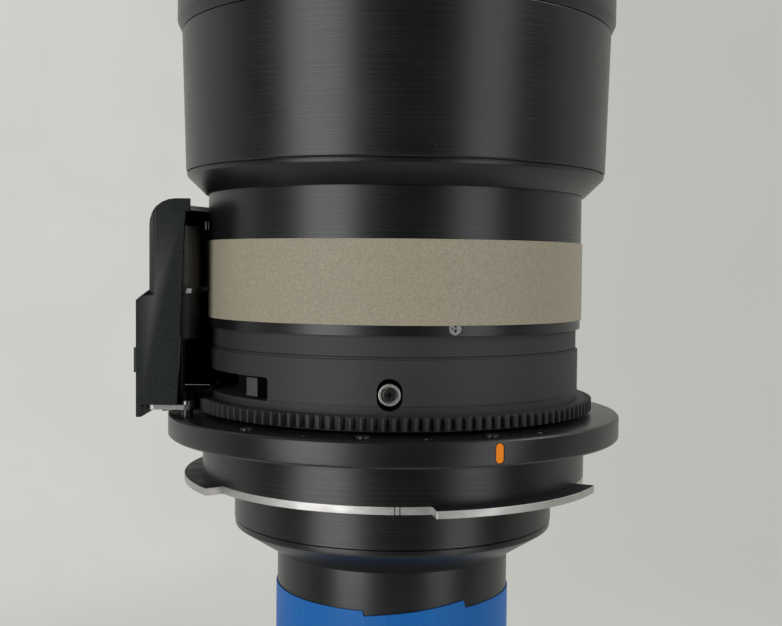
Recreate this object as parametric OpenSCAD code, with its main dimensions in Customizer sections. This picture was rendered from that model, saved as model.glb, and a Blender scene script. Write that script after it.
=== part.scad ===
// Motor driven zoom projection lens, standing on its rear end with the front glass up.
// The origin is where the optical axis meets the rear seating face of the mounting flange.
// +Z runs to the front of the lens, and the drive unit sits on the -X side.

/* [Mount] */
// Diameter of the pilot that centres the lens in the projector
pilot_d = 86.4; // [84:0.1:88]
// Wall of the spigot round the pilot
spigot_wall = 8.55; // [8:0.05:9]
// How far the flange stands out past the spigot
flange_reach = 9.1; // [8.5:0.1:11]
// Thickness of the mounting flange
flange_t = 6.2; // [5:0.1:8]
// Height of the spigot, from the seat to the bayonet plate
spigot_h = 10.2; // [7:0.1:13]
// Thickness of the steel bayonet plate
bayonet_t = 1.9; // [1.4:0.1:2.6]
// How far each bayonet lobe stands out past the spigot
lobe_reach = 4.8; // [3:0.1:5.8]
// Angle that one bayonet lobe covers
lobe_span = 55; // [35:1:60]
// Length of the pilot behind the bayonet plate
pilot_h = 10.4; // [8:0.1:14]
// Wall of the pilot
pilot_wall = 4; // [3:0.1:5]

/* [Rear barrel] */
// Height of the cone between the pilot and the rear tube
cone_h = 8.7; // [7:0.1:12]
// Step inwards from the pilot to the rear tube
cone_step = 11.7; // [10:0.1:13]
// Wall of the rear tube
rear_tube_wall = 2.6; // [2:0.1:3.5]
// Length of the rear tube that shows below the cone
rear_tube_h = 58.8; // [50:0.2:70]
// Thickness of the protective tape
tape_t = 0.3; // [0.2:0.05:0.5]
// Height of the tape on the rear tube
tape_h = 48.7; // [30:0.5:49]

/* [Fixed and zoom barrels] */
// Step from the pilot out to the guide barrel
guide_step = 0.6; // [0.4:0.1:1.5]
// Wall of the guide barrel
guide_wall = 2.55; // [2:0.05:3]
// Gap left over the end of the guide barrel at full focus travel
guide_end_gap = 1.6; // [0.8:0.1:3]
// Wall of the neck of the zoom ring
zoom_neck_wall = 2.15; // [1.8:0.05:2.5]
// Height of the zoom ring that shows
zoom_ring_h = 17.3; // [16.5:0.1:18.5]
// Height of the neck of the zoom ring
zoom_neck_h = 25.6; // [25:0.1:26]
// Wall of the zoom ring under its gear
zoom_wall = 5.95; // [5.5:0.05:6.5]
// Module of the zoom gear
gear_module = 0.8; // [0.5:0.1:1]
// Width of the zoom gear
gear_w = 3.1; // [2.5:0.1:3.6]
// Depth of metal between the zoom ring and the roots of its teeth
gear_rim_t = 2; // [1.6:0.1:2.4]
// Teeth on the pinion of the zoom motor
zoom_pinion_teeth = 12; // [10:1:13]
// Turn of the zoom ring from its rest place to the wide stop
zoom_turn = 50; // [40:1:52]
// Travel of the variator over the zoom turn
variator_travel = 14; // [11:0.5:14.5]
// Travel of the compensator over the zoom turn
compensator_travel = 1.1; // [0.6:0.1:1.2]

/* [Focus barrels] */
// Wall of the sliding skirt under the focus sleeve
skirt_wall = 1.9; // [1.6:0.05:2.2]
// Wall of the focus sleeve
sleeve_wall = 2.05; // [1.8:0.05:2.4]
// Height of the focus sleeve
sleeve_h = 39.3; // [38.5:0.1:40]
// Height of the accent band
band_w = 20; // [19:0.5:22]
// Thickness of the accent band
band_t = 0.35; // [0.2:0.05:0.5]
// Module of the fine focus gear
focus_module = 0.5; // [0.49:0.01:0.51]
// Height of the focus gear ring
focus_gear_h = 4.9; // [4.5:0.1:5.2]
// Teeth on the pinion of the focus motor
focus_pinion_teeth = 30; // [28:1:31]
// Turn of the focus sleeve each way
focus_turn = 25; // [18:1:26]
// Travel of the front barrel each way
focus_travel = 4; // [3:0.1:4]

/* [Front barrel] */
// Step outwards from the focus sleeve to the hood
hood_step = 5.95; // [5:0.05:7]
// Widening of the hood's radius up to its upper edge
hood_taper = 1.05; // [0.5:0.05:1.5]
// Height of the hood
hood_h = 36.65; // [35:0.1:40]
// Wall of the hood at its lower edge
hood_wall = 2.8; // [2.2:0.1:3]
// How far the front ring stands out past the hood
front_ring_step = 1.2; // [0.8:0.1:2]
// Height of the front ring
front_ring_h = 18; // [15:0.5:22]
// Wall of the front cell round the front glass
front_cell_wall = 3.95; // [3.5:0.05:5]

/* [Drive unit] */
// Room between the motors and the side walls of the cover
cover_side_room = 4.3; // [3.8:0.1:6]
// Gap between the motors and the outer wall of the cover
cover_motor_gap = 0.1; // [0.1:0.05:1]
// Room over the motors' terminals
cover_head_room = 2.9; // [1:0.1:5]
// Step inwards of the upper part of the cover
cover_step = 3; // [2:0.1:3]
// Wall of the cover
cover_wall = 1.3; // [1:0.05:1.35]
// Diameter of the motors and their gearboxes
motor_d = 9.8; // [9:0.1:10]
// Height of the motor cans
motor_h = 15; // [12:0.5:18]
// Sheet thickness of the drive frame
sheet_t = 1.2; // [0.8:0.1:1.4]

/* [Hidden] */
$fn = 96;

// Clearances: a running fit, a bonded or pressed seat, a free gap, and the overrun of every cut
run_gap = 0.05;
seat_gap = 0.02;
free_gap = 0.3;
cut = 1;

// Tooth form of both gear pairs
pressure_angle = 20;
root_share = 1.25;

// Radii from the axis outwards
pilot_r = pilot_d / 2;
mount_bore_r = pilot_r + run_gap;
spigot_r = mount_bore_r + spigot_wall;
flange_r = spigot_r + flange_reach;
lobe_r = spigot_r + lobe_reach;
pilot_bore_r = pilot_r - pilot_wall;
guide_r = pilot_r + guide_step;
guide_bore_r = guide_r - guide_wall;
zoom_bore_r = guide_r + run_gap;
zoom_neck_r = zoom_bore_r + zoom_neck_wall;
zoom_ring_r = zoom_bore_r + zoom_wall;
gear_teeth = round(2 * (zoom_ring_r + gear_rim_t) / gear_module + 2 * root_share);
pitch_r = gear_teeth * gear_module / 2;
gear_tip_r = pitch_r + gear_module;
skirt_bore_r = zoom_neck_r + free_gap;
skirt_r = skirt_bore_r + skirt_wall;
sleeve_bore_r = skirt_r + run_gap;
sleeve_r = sleeve_bore_r + sleeve_wall;
band_bore_r = sleeve_r + seat_gap;
band_r = band_bore_r + band_t;
cell_r = guide_bore_r - run_gap;
rear_tube_r = pilot_r - cone_step;
rear_bore_r = rear_tube_r - rear_tube_wall;
hood_r = sleeve_r + hood_step;
hood_top_r = hood_r + hood_taper;
hood_bore_r = hood_r - hood_wall;
front_ring_r = hood_top_r + front_ring_step;
front_glass_r = hood_bore_r - front_cell_wall;

// Heights along the axis, from the rear end up
pilot_top = -spigot_h - bayonet_t;
pilot_z = pilot_top - pilot_h;
cone_z = pilot_z - cone_h;
rear_end_z = cone_z - rear_tube_h;
barrel_gap = 0.4;
zoom_ring_z = flange_t + barrel_gap;
gear_lift = 0.8;
gear_z = zoom_ring_z + gear_lift;
zoom_ring_top = zoom_ring_z + zoom_ring_h;
washer_t = 0.2;
focus_gear_z = zoom_ring_top + washer_t;
sleeve_z = focus_gear_z + focus_gear_h;
sleeve_top = sleeve_z + sleeve_h;
zoom_neck_top = zoom_ring_top + zoom_neck_h;

// Mount: rim chamfer, bores, screws and the index mark
rim_chamfer = 0.5;
lobe_starts = [10, 130, 250];
screw_count = 6;
screw_d = 2.4;
screw_head_d = 4.2;
screw_head_h = 1.2;
screw_depth = 5;
bayonet_screw_r = (mount_bore_r + spigot_r) / 2;
flange_screw_count = 12;
flange_screw_d = 2;
flange_screw_head_d = 3.2;
flange_screw_head_h = 0.7;
flange_screw_depth = 3.5;
flange_screw_r = (gear_tip_r + flange_r) / 2;
flange_screw_angle = -7;
flange_hole_angle = 8;
rim_group_half = 45;
mark_w = 1.9;
mark_h = 4.5;
mark_depth = 0.4;
mark_angle = 23.2;

// Guide barrel: shoulder on the flange, stop block, key and roller slots
guide_shoulder_h = 3;
pilot_groove_w = 0.3;
relief_w = 1;
relief_depth = 0.6;
stop_angle = -46;
stop_span = 5.1;
stop_h = 4.5;
stop_reach = 4.6;
key_w = 8;
key_h = 12;
key_reach = 1.7;
key_drop = 2;
slot_steps = 11;

// Rollers that ride in the barrel slots
roller_d = 5.2;
roller_screw_d = 1.8;
roller_head_d = 3.2;
roller_head_h = 1;
roller_sink = 0.4;
roller_seat = 2;
slot_gap = 0.2;
zoom_back_turn = 5;
comp_z = zoom_ring_z + zoom_ring_h / 2;
comp_angle = -1.2;
vari_drop = 5.5;
vari_z = zoom_neck_top - vari_drop;
vari_angle = comp_angle + 60;
oblong_w = 6;
oblong_h = 7.7;

// Window of the zoom ring that the stop block stands in
window_h = 5.7;
window_lift = 5.8;
window_start = -100;
window_end = -37.5;
foot_step = 0.25;
foot_h = 6;
top_groove_w = 0.5;
top_groove_d = 0.5;

// Cells and lens elements
cell_h = 11;
cell_lip = 2.2;
cell_lip_t = 1.2;
retainer_t = 1.5;
lens_gap = 0.05;
lens_steps = 8;
glass_color = [0.7, 0.8, 0.85, 0.4];
front_glass_color = [0.55, 0.65, 0.62, 0.4];
lens_rim = 2.4;

comp_cell_wall = 4.2;
comp_lens_r = cell_r - comp_cell_wall;
comp_lens_edge = 5;
comp_bulge = 2;
vari_cell_h = 12;
vari_cell_wall = 5.2;
vari_lens_r = cell_r - vari_cell_wall;
vari_lens_edge = 3.4;
vari_lens_step = 0.4;
vari_hollow = 1.2;

// Rear cone, tube and group
rear_spigot_h = 5.5;
rear_lip_w = 0.6;
cone_slope_h = 6.9;
cone_edge_w = 0.2;
rear_flange_t = 1.6;
rear_flange_in = 1.2;
rear_tube_top = pilot_z + rear_spigot_h + rear_flange_t;
rear_lens_edge = 6;
rear_spacer_w = 2;
rear_bulge = 3;
rear_hollow = 2;
rear_lens_z = [rear_tube_top - rear_lens_edge - 1.5 * rear_lens_edge, cone_z - 2 * rear_lens_edge,
    rear_end_z + 1.5 * rear_lens_edge];

// Focus gear, sleeve and their screws
focus_pitch_r = sleeve_r - 1.5 * focus_module - gear_lift;
focus_teeth = round(2 * focus_pitch_r / focus_module);
focus_gear_pitch_r = focus_teeth * focus_module / 2;
focus_gear_tip_r = focus_gear_pitch_r + focus_module;
focus_gear_root_r = focus_gear_pitch_r - root_share * focus_module;
focus_spigot_h = 3.6;
band_lift = 2.4;
band_z = sleeve_z + band_lift;
sleeve_screw_angle = 16.3;
sleeve_screw_lift = 1.7;
sleeve_screw_d = 1.8;
sleeve_head_d = 3.4;
sleeve_head_h = 0.5;
sleeve_head_sink = 0.15;
focus_tooth_margin = 5;
pin_lift = 12;
pin_z = sleeve_z + pin_lift;
pin_d = 4;
pin_angle = 40;
skirt_drop = 4;
skirt_z = pin_z - skirt_drop;

// Front barrel: lip over the sleeve, pocket, shoulder and spigot for the hood
lip_overlap = 4.6;
lip_z = sleeve_top - lip_overlap;
lip_cone_h = 5.45;
groove_z = lip_z + lip_cone_h;
groove_w = 0.4;
pocket_z = sleeve_top + focus_travel + free_gap;
shoulder_t = 3;
shoulder_z = pocket_z + shoulder_t;
guide_top = shoulder_z - focus_travel - guide_end_gap;
land_h = 18;
lip_w = 0.4;
edge_round = 0.4;
groove_depth = 0.7;
hood_z = groove_z + groove_w;
hood_top = hood_z + hood_h;
ring_gap = 0.2;
front_z = hood_top + ring_gap;
front_top = front_z + front_ring_h;
front_chamfer_h = 2.5;
front_lip_t = 3.7;
cell_rise = 6;
cell_top = front_z + cell_rise;
second_step = 2.5;
third_step = 3.5;
third_r = front_glass_r - second_step - third_step;
third_edge = 7;
third_bulge = 1.5;
third_lip_t = 2.5;
third_z = shoulder_z + third_lip_t;
second_r = front_glass_r - second_step;
second_edge = 8;
second_top_hollow = 1.5;
second_low_hollow = 2.5;
second_z = third_z + third_edge + third_edge / 2;
front_edge = 6;
front_bulge = 8;
front_hollow = 4;
front_glass_z = second_z + second_edge + 2 * free_gap;

// Places of the drive unit
zoom_pinion_r = zoom_pinion_teeth * gear_module / 2;
focus_pinion_r = focus_pinion_teeth * focus_module / 2;
mesh_gap = 0.1;
zoom_motor_y = -15;
focus_motor_y = 15.5;
zoom_centre_r = pitch_r + zoom_pinion_r + mesh_gap;
focus_centre_r = focus_gear_pitch_r + focus_pinion_r + mesh_gap;
zoom_motor_x = -sqrt(pow(zoom_centre_r, 2) - pow(zoom_motor_y, 2));
focus_motor_x = -sqrt(pow(focus_centre_r, 2) - pow(focus_motor_y, 2));

// Drive unit: frame, shelf, board, connector and cover
spacer_h = 2;
spacer_r = 1.5;
drive_screw_d = 1.8;
drive_screw_head_d = 3.2;
drive_screw_head_h = 1;
drive_screw_depth = 3;
drive_screw_inset = 2;
frame_gap = 0.8;
frame_w = 11.7;
frame_corner = 2;
frame_z = flange_t + spacer_h;
frame_top = frame_z + sheet_t;
motor_r = motor_d / 2;
cover_reach = motor_r - zoom_motor_x + cover_motor_gap + cover_wall + cover_step;
cover_half_y = focus_motor_y + motor_r + cover_side_room + cover_wall;
frame_x = cover_reach - cover_wall - frame_gap;
frame_half_y = cover_half_y - cover_wall - free_gap;
drive_screw_y = frame_half_y - drive_screw_inset;
drive_screw_x = -sqrt(pow(flange_screw_r, 2) - pow(drive_screw_y, 2));
drive_screw_places = [[drive_screw_x, -drive_screw_y], [drive_screw_x, drive_screw_y], [-flange_screw_r, 0]];
tongue_x = cover_reach - cover_step - cover_wall - free_gap;
tongue_y = -8;
tongue_w = 14;
shelf_w = 9.1;
zoom_gearbox_h = 11.8;
focus_gearbox_h = 8.2;
focus_gearbox_z = sleeve_z + 2 * free_gap;
shelf_z = focus_gearbox_z + focus_gearbox_h;
shelf_top = shelf_z + sheet_t;
zoom_gearbox_z = shelf_z - zoom_gearbox_h;
motor_neck_r = 2.9;
motor_cap_h = 1;
motor_cap_r = 4.4;
terminal_w = 2;
terminal_t = 0.4;
terminal_h = 2.4;
terminal_step = 2.6;
gearbox_neck_r = 2.4;
gearbox_neck_h = 0.6;
shaft_r = 1;
shaft_seat = 5;
hub_r = 2.6;
hub_h = 1.2;
pinion_over = 0.2;
flank_steps = 4;
backlash_share = 0.1;
board_t = 1.2;
board_x = tongue_x + free_gap;
board_shank_d = 1.6;
pinion_hub_gap = 0.2;
board_rise = 1.6;
board_drop = 3.8;
board_low = frame_top + board_rise;
board_high = shelf_z - board_drop;
board_near = -22;
board_far = -1;
board_screw_y = -4.5;
board_screw_z = [14.5, 30.5];
board_head_d = 3;
board_head_h = 0.8;
socket_w = 12.6;
socket_h = 6.4;
socket_wall = 0.8;
socket_reach = 4.8;
socket_floor = 0.4;
socket_y = -14.6;
socket_z = 20.5;
pin_count = 6;
pin_step = 1.8;
contact_d = 0.6;
contact_h = 3;
cover_low = flange_t + free_gap;
cover_side_low = frame_top + washer_t;
cover_step_drop = 1.8;
cover_step_z = shelf_z - cover_step_drop;
cover_top_z = shelf_top + motor_h + motor_cap_h + terminal_h + cover_head_room + cover_wall;
cover_step_rise = 2.6;
cover_corner = 7;
cover_corner_steps = 6;
cover_bevel = 1.6;
cover_edge_room = 2.3;
cover_foot_room = 1.2;
cover_edge_top = sleeve_r + cover_edge_room;
cover_edge_low = gear_tip_r + cover_foot_room;
cover_boss_r = 2.2;
cover_screw_y = 3;
cover_screw_z = [18, 30];
cover_screw_d = 1.8;
cover_head_d = 3.6;
cover_head_h = 1.2;
clip_w = 2.2;
clip_h = 3.2;

// Places its children at an angle round the axis, counted from the front (-Y) towards +X
module at_angle(angle) {
    rotate([0, 0, angle - 90]) children();
}

// Repeats its children at even steps round the axis
module round_axis(count) {
    for (i = [0 : count - 1])
        rotate([0, 0, i * 360 / count]) children();
}

// Upright tube between two heights
module tube(outer, inner, low, high) {
    translate([0, 0, low])
        difference() {
            cylinder(r = outer, h = high - low);
            translate([0, 0, -cut]) cylinder(r = inner, h = high - low + 2 * cut);
        }
}

// Part of a tube between two angles
module ring_sector(outer, inner, low, high, from, to) {
    translate([0, 0, low])
        at_angle(from)
            rotate_extrude(angle = to - from)
                translate([inner, 0]) square([outer - inner, high - low]);
}

// Pin along a radius, from one distance from the axis to another
module radial_pin(radius, inner, outer, angle, z) {
    at_angle(angle)
        translate([inner, 0, z])
            rotate([0, 90, 0]) cylinder(r = radius, h = outer - inner);
}

// Upright slot with round ends, cut along a radius
module radial_slot(width, height, inner, outer, angle, z) {
    at_angle(angle)
        translate([inner, 0, z])
            rotate([0, 90, 0])
                linear_extrude(outer - inner) {
                    square([height - width, width], center = true);
                    for (side = [-1, 1])
                        translate([side * (height - width) / 2, 0]) circle(d = width);
                }
}

// Height of a helical slot that a round pin of one diameter runs in
function slot_height(pin, radius, turn, rise) =
    (pin + 2 * slot_gap) * sqrt(1 + pow(rise / (radius * turn * PI / 180), 2));

// Angle that a slot reaches past the middle of the pin at its end
function slot_end(pin, radius) = asin((pin / 2 + 2 * slot_gap) / radius);

// Points on one cross-section of a helical slot, at an angle and a height
function slot_ring(outer, inner, height, angle, z) = [
    for (corner = [[inner, -1], [outer, -1], [outer, 1], [inner, 1]])
        [corner[0] * cos(angle), corner[0] * sin(angle), z + corner[1] * height / 2]
];

// Solid of a helical slot that climbs by rise between two angles
module helix_slot(outer, inner, height, z, from, to, rise) {
    points = [
        for (i = [0 : slot_steps])
            let (share = i / slot_steps)
                each slot_ring(outer, inner, height,
                    from - 90 + (to - from) * share, z + rise * (share - 0.5))
    ];
    sides = [
        for (i = [0 : slot_steps - 1])
            for (j = [0 : 3])
                let (a = 4 * i + j, b = 4 * i + (j + 1) % 4)
                    each [[a, b, b + 4], [a, b + 4, a + 4]]
    ];
    last = 4 * slot_steps;
    polyhedron(
        points = points,
        faces = concat(
            [[0, 3, 2], [0, 2, 1]], sides,
            [[last, last + 1, last + 2], [last, last + 2, last + 3]]
        )
    );
}

// Half the angle of a tooth at a radius
function involute(angle) = tan(angle) * 180 / PI - angle;
function roll_angle(base, radius) = acos(min(base / radius, 1));
function tooth_half(teeth, pitch, radius) =
    90 / teeth * (1 - backlash_share)
    + involute(pressure_angle) - involute(roll_angle(pitch * cos(pressure_angle), radius));

// Outline points of the teeth from one number to another, with tooth 0 on the +X axis
function tooth_points(teeth, module_size, first, last, steps) =
    let (pitch = teeth * module_size / 2, root = pitch - root_share * module_size, tip = pitch + module_size)
    [
        for (i = [first : last])
            for (side = [-1, 1])
                for (k = [0 : steps])
                    let (
                        share = side < 0 ? k / steps : 1 - k / steps,
                        radius = root + (tip - root) * share,
                        angle = i * 360 / teeth + side * tooth_half(teeth, pitch, radius)
                    )
                        [radius * cos(angle), radius * sin(angle)]
    ];

// Gear with its shaft, hub and teeth, between two heights
module pinion(teeth, module_size, low, high, phase, shaft_low, shaft_high) {
    rotate([0, 0, phase])
        translate([0, 0, low])
            linear_extrude(high - low)
                polygon(tooth_points(teeth, module_size, 0, teeth - 1, flank_steps));
    translate([0, 0, shaft_low]) cylinder(r = shaft_r, h = shaft_high - shaft_low);
    translate([0, 0, high]) cylinder(r = hub_r, h = hub_h);
}

// Points along a lens face from the axis out to its edge, domed by bulge or hollowed by a negative one
function face_points(radius, bulge, z, side) =
    let (ball = (pow(radius, 2) + pow(bulge, 2)) / (2 * abs(bulge)))
    [
        for (i = [0 : lens_steps])
            let (r = radius * i / lens_steps)
                [r, z + side * sign(bulge) * (sqrt(pow(ball, 2) - pow(r, 2)) - ball + abs(bulge))]
    ];

// Lens whose flat rim stands on z = 0, with the bulge of its upper and its lower face
module lens(radius, edge, top_bulge, low_bulge) {
    top = face_points(radius - lens_rim, top_bulge, edge, 1);
    low = face_points(radius - lens_rim, low_bulge, 0, -1);
    rim = [[radius, edge], [radius, 0]];
    rotate_extrude() polygon(concat(top, rim, [for (i = [lens_steps : -1 : 0]) low[i]]));
}

// Angles of the flange screws or holes, in one group at the front and one at the back
function rim_angles(first) = [
    for (i = [0 : flange_screw_count - 1])
        let (angle = (first + i * 360 / flange_screw_count + 180) % 360 - 180)
            if (abs(cos(angle)) > cos(rim_group_half)) angle
];

// Blind holes for a ring of screws in the top of the flange
module rim_holes(first) {
    for (angle = rim_angles(first))
        at_angle(angle)
            translate([flange_screw_r, 0, flange_t - flange_screw_depth])
                cylinder(d = flange_screw_d, h = flange_screw_depth + cut);
}

// Stadium shape of the index mark, pressed into the rim
module mark_shape(reach) {
    radial_slot(mark_w, mark_h, flange_r - mark_depth, flange_r + reach, mark_angle, flange_t / 2);
}

module mount_flange() {
    outline = [
        [spigot_r + seat_gap, 0], [flange_r - rim_chamfer, 0], [flange_r, rim_chamfer],
        [flange_r, flange_t - rim_chamfer], [flange_r - rim_chamfer, flange_t],
        [spigot_r + seat_gap, flange_t]
    ];
    color("#2b2c2e")
        difference() {
            rotate_extrude() polygon(outline);
            rim_holes(flange_screw_angle);
            rim_holes(flange_hole_angle);
            mark_shape(cut);
            for (place = drive_screw_places)
                translate([place[0], place[1], flange_t - drive_screw_depth])
                    cylinder(d = drive_screw_d, h = drive_screw_depth + cut);
        }
}

module mount_spigot() {
    color("#303133")
        difference() {
            tube(spigot_r, mount_bore_r, -spigot_h, flange_t);
            round_axis(screw_count)
                at_angle(0)
                    translate([bayonet_screw_r, 0, -spigot_h - cut])
                        cylinder(d = screw_d, h = screw_depth + cut);
        }
}

// Screw with a sunk head, standing on z = 0 at its head
module sunk_screw(gap) {
    translate([0, 0, -gap]) cylinder(d1 = screw_head_d + 2 * gap, d2 = screw_d, h = screw_head_h + gap);
    cylinder(d = screw_d, h = bayonet_t + screw_depth);
}

module bayonet_plate() {
    plate_z = -spigot_h - bayonet_t;
    color("#c9c8c2")
        difference() {
            union() {
                tube(spigot_r, mount_bore_r, plate_z, -spigot_h);
                for (start = lobe_starts)
                    ring_sector(lobe_r, spigot_r - cut, plate_z, -spigot_h, start, start + lobe_span);
            }
            round_axis(screw_count)
                at_angle(0)
                    translate([bayonet_screw_r, 0, plate_z]) sunk_screw(seat_gap);
        }
}

module bayonet_screws() {
    color("#b9b8b2")
        round_axis(screw_count)
            at_angle(0)
                translate([bayonet_screw_r, 0, -spigot_h - bayonet_t]) sunk_screw(0);
}

module flange_screws() {
    color("#3a3b3c")
        for (angle = rim_angles(flange_screw_angle))
            at_angle(angle)
                translate([flange_screw_r, 0, flange_t]) {
                    cylinder(d = flange_screw_head_d, h = flange_screw_head_h);
                    translate([0, 0, -flange_screw_depth])
                        cylinder(d = flange_screw_d, h = flange_screw_depth);
                }
}

module index_mark() {
    color("#d8622c") mark_shape(-run_gap);
}

// The three slots of a set of rollers, along the path that the zoom turn gives them
module roller_path(angle, z, travel) {
    reach = slot_end(roller_d, guide_bore_r);
    sweep = zoom_turn + zoom_back_turn + 2 * reach;
    middle = z + travel * (zoom_turn - zoom_back_turn) / 2 / zoom_turn;
    height = slot_height(roller_d, guide_bore_r, zoom_turn, travel);
    from = angle - zoom_back_turn - reach;
    round_axis(3)
        helix_slot(guide_r + cut, guide_bore_r - cut, height, middle,
            from, from + sweep, travel * sweep / zoom_turn);
}

module guide_barrel() {
    shoulder_top = flange_t + guide_shoulder_h;
    seat_r = pilot_r - run_gap;
    outline = [
        [pilot_bore_r, pilot_z], [pilot_r, pilot_z], [pilot_r, pilot_top - relief_w],
        [pilot_r - relief_depth, pilot_top - relief_w], [pilot_r - relief_depth, pilot_top],
        [seat_r, pilot_top],
        [seat_r, flange_t], [guide_r, flange_t], [guide_r, guide_top], [guide_bore_r, guide_top],
        [guide_bore_r, shoulder_top], [pilot_bore_r, shoulder_top]
    ];
    color("#232426")
        difference() {
            rotate_extrude() polygon(outline);
            roller_path(comp_angle, comp_z, compensator_travel);
            roller_path(vari_angle, vari_z, -variator_travel);
        }
}

module zoom_stop() {
    low = zoom_ring_z + window_lift + (window_h - stop_h) / 2;
    color("#c8c7bd")
        ring_sector(guide_r + stop_reach, guide_r, low, low + stop_h,
            stop_angle - stop_span / 2, stop_angle + stop_span / 2);
}

// Sector of the focus key, widened and raised by a gap
module key_shape(low, high, gap) {
    half = asin((key_w / 2 + gap) / guide_r);
    ring_sector(guide_r + key_reach + gap, guide_r, low, high, 180 - half, 180 + half);
}

module focus_key() {
    color("#b8b7b0") key_shape(guide_top - key_drop - key_h, guide_top - key_drop, 0);
}

module rear_cone() {
    top_z = pilot_z + rear_spigot_h;
    outline = [
        [rear_tube_r + seat_gap, cone_z], [rear_tube_r + rear_lip_w, cone_z],
        [pilot_r - cone_edge_w, cone_z + cone_slope_h], [pilot_r - cone_edge_w, pilot_z - pilot_groove_w],
        [pilot_bore_r - run_gap, pilot_z - pilot_groove_w], [pilot_bore_r - run_gap, top_z],
        [rear_tube_r + seat_gap, top_z]
    ];
    color("#1f2022") rotate_extrude() polygon(outline);
}

module rear_tube() {
    color("#242527") {
        tube(rear_tube_r, rear_bore_r, rear_end_z, rear_tube_top);
        tube(pilot_bore_r - rear_flange_in, rear_tube_r - cut, rear_tube_top - rear_flange_t, rear_tube_top);
    }
}

// The rear group, counted down from the top of the rear tube
module rear_lens(z, top_bulge, low_bulge) {
    color(glass_color)
        translate([0, 0, z]) lens(rear_bore_r - lens_gap, rear_lens_edge, top_bulge, low_bulge);
}

module rear_front_element() {
    rear_lens(rear_lens_z[0], -rear_hollow, rear_bulge);
}

module rear_middle_element() {
    rear_lens(rear_lens_z[1], rear_bulge, rear_bulge);
}

module rear_end_element() {
    rear_lens(rear_lens_z[2], rear_bulge, -rear_hollow);
}

module rear_spacers() {
    color("#1c1d1f")
        for (i = [0, 1])
            tube(rear_bore_r - lens_gap, rear_bore_r - rear_spacer_w,
                rear_lens_z[i + 1] + rear_lens_edge, rear_lens_z[i]);
}

module rear_retaining_ring() {
    color("#1c1d1f")
        tube(rear_bore_r - lens_gap, rear_bore_r - rear_spacer_w,
            rear_lens_z[2] - retainer_t, rear_lens_z[2]);
}

module tape_wrap() {
    top_z = rear_end_z + tape_h;
    color("#2f6f9f") {
        tube(rear_tube_r + seat_gap + tape_t, rear_tube_r + seat_gap, rear_end_z, top_z);
        translate([0, 0, rear_end_z - tape_t]) cylinder(r = rear_tube_r + seat_gap + tape_t, h = tape_t);
    }
}

// Drive frame: base plate, upright tongue and shelf, bent from one sheet
module frame_outline() {
    difference() {
        union() {
            translate([-frame_x, -frame_half_y + frame_corner])
                square([frame_w, 2 * (frame_half_y - frame_corner)]);
            translate([-frame_x + frame_corner, -frame_half_y])
                square([frame_w - 2 * frame_corner, 2 * frame_half_y]);
            for (x = [-frame_x + frame_corner, -frame_x + frame_w - frame_corner])
                for (side = [-1, 1])
                    translate([x, side * (frame_half_y - frame_corner)]) circle(r = frame_corner);
        }
        circle(r = gear_tip_r + 2 * free_gap);
        translate([zoom_motor_x, zoom_motor_y]) circle(r = zoom_pinion_r + gear_module + free_gap);
        for (place = drive_screw_places)
            translate(place) circle(d = drive_screw_d);
    }
}

module drive_frame() {
    color("#b7b5ad")
        difference() {
            union() {
                translate([0, 0, frame_z]) linear_extrude(sheet_t) frame_outline();
                translate([-tongue_x, tongue_y, frame_z]) cube([sheet_t, tongue_w, shelf_top - frame_z]);
                translate([-tongue_x, -frame_half_y, shelf_z]) cube([shelf_w, 2 * frame_half_y, sheet_t]);
            }
            for (place = [[zoom_motor_x, zoom_motor_y], [focus_motor_x, focus_motor_y]])
                translate([place[0], place[1], shelf_z - cut])
                    cylinder(r = motor_neck_r + run_gap, h = sheet_t + 2 * cut);
            for (z = board_screw_z)
                side_pin(board_screw_y, z, board_shank_d / 2, tongue_x - sheet_t - cut, tongue_x + cut);
            for (z = cover_screw_z)
                side_pin(cover_screw_y, z, cover_screw_d / 2, tongue_x - sheet_t - cut, tongue_x + cut);
        }
}

// Pin along X on the drive side, between two distances from the axis
module side_pin(y, z, radius, inner, outer) {
    translate([-outer, y, z]) rotate([0, 90, 0]) cylinder(r = radius, h = outer - inner);
}

module drive_spacers() {
    color("#a9a79f")
        for (place = drive_screw_places)
            translate([place[0], place[1], 0])
                tube(spacer_r, drive_screw_d / 2 + seat_gap, flange_t, frame_z);
}

module drive_screws() {
    color("#b9b8b2")
        for (place = drive_screw_places)
            translate([place[0], place[1], 0]) {
                translate([0, 0, frame_top]) cylinder(d = drive_screw_head_d, h = drive_screw_head_h);
                translate([0, 0, flange_t - drive_screw_depth])
                    cylinder(d = drive_screw_d, h = frame_top - flange_t + drive_screw_depth);
            }
}

// Motor can on the shelf, with its neck, end cap and two terminals
module motor(x, y) {
    translate([x, y, shelf_top]) {
        cylinder(r = motor_r, h = motor_h);
        translate([0, 0, motor_h]) cylinder(r = motor_cap_r, h = motor_cap_h);
        translate([0, 0, -sheet_t]) cylinder(r = motor_neck_r, h = sheet_t);
        for (side = [-1, 1])
            translate([-terminal_t / 2, side * terminal_step - terminal_w / 2, motor_h + motor_cap_h])
                cube([terminal_t, terminal_w, terminal_h]);
    }
}

module zoom_motor() {
    color("#d8d4c4") motor(zoom_motor_x, zoom_motor_y);
}

module focus_motor() {
    color("#d8d4c4") motor(focus_motor_x, focus_motor_y);
}

// Gearbox under the shelf, with a neck and a bore for the pinion's shaft
module gearbox(x, y, low) {
    translate([x, y, 0])
        difference() {
            union() {
                translate([0, 0, low]) cylinder(r = motor_r, h = shelf_z - low);
                translate([0, 0, low - gearbox_neck_h]) cylinder(r = gearbox_neck_r, h = gearbox_neck_h);
            }
            translate([0, 0, low - gearbox_neck_h - cut])
                cylinder(r = shaft_r + run_gap, h = gearbox_neck_h + shaft_seat + cut + run_gap);
        }
}

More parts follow.
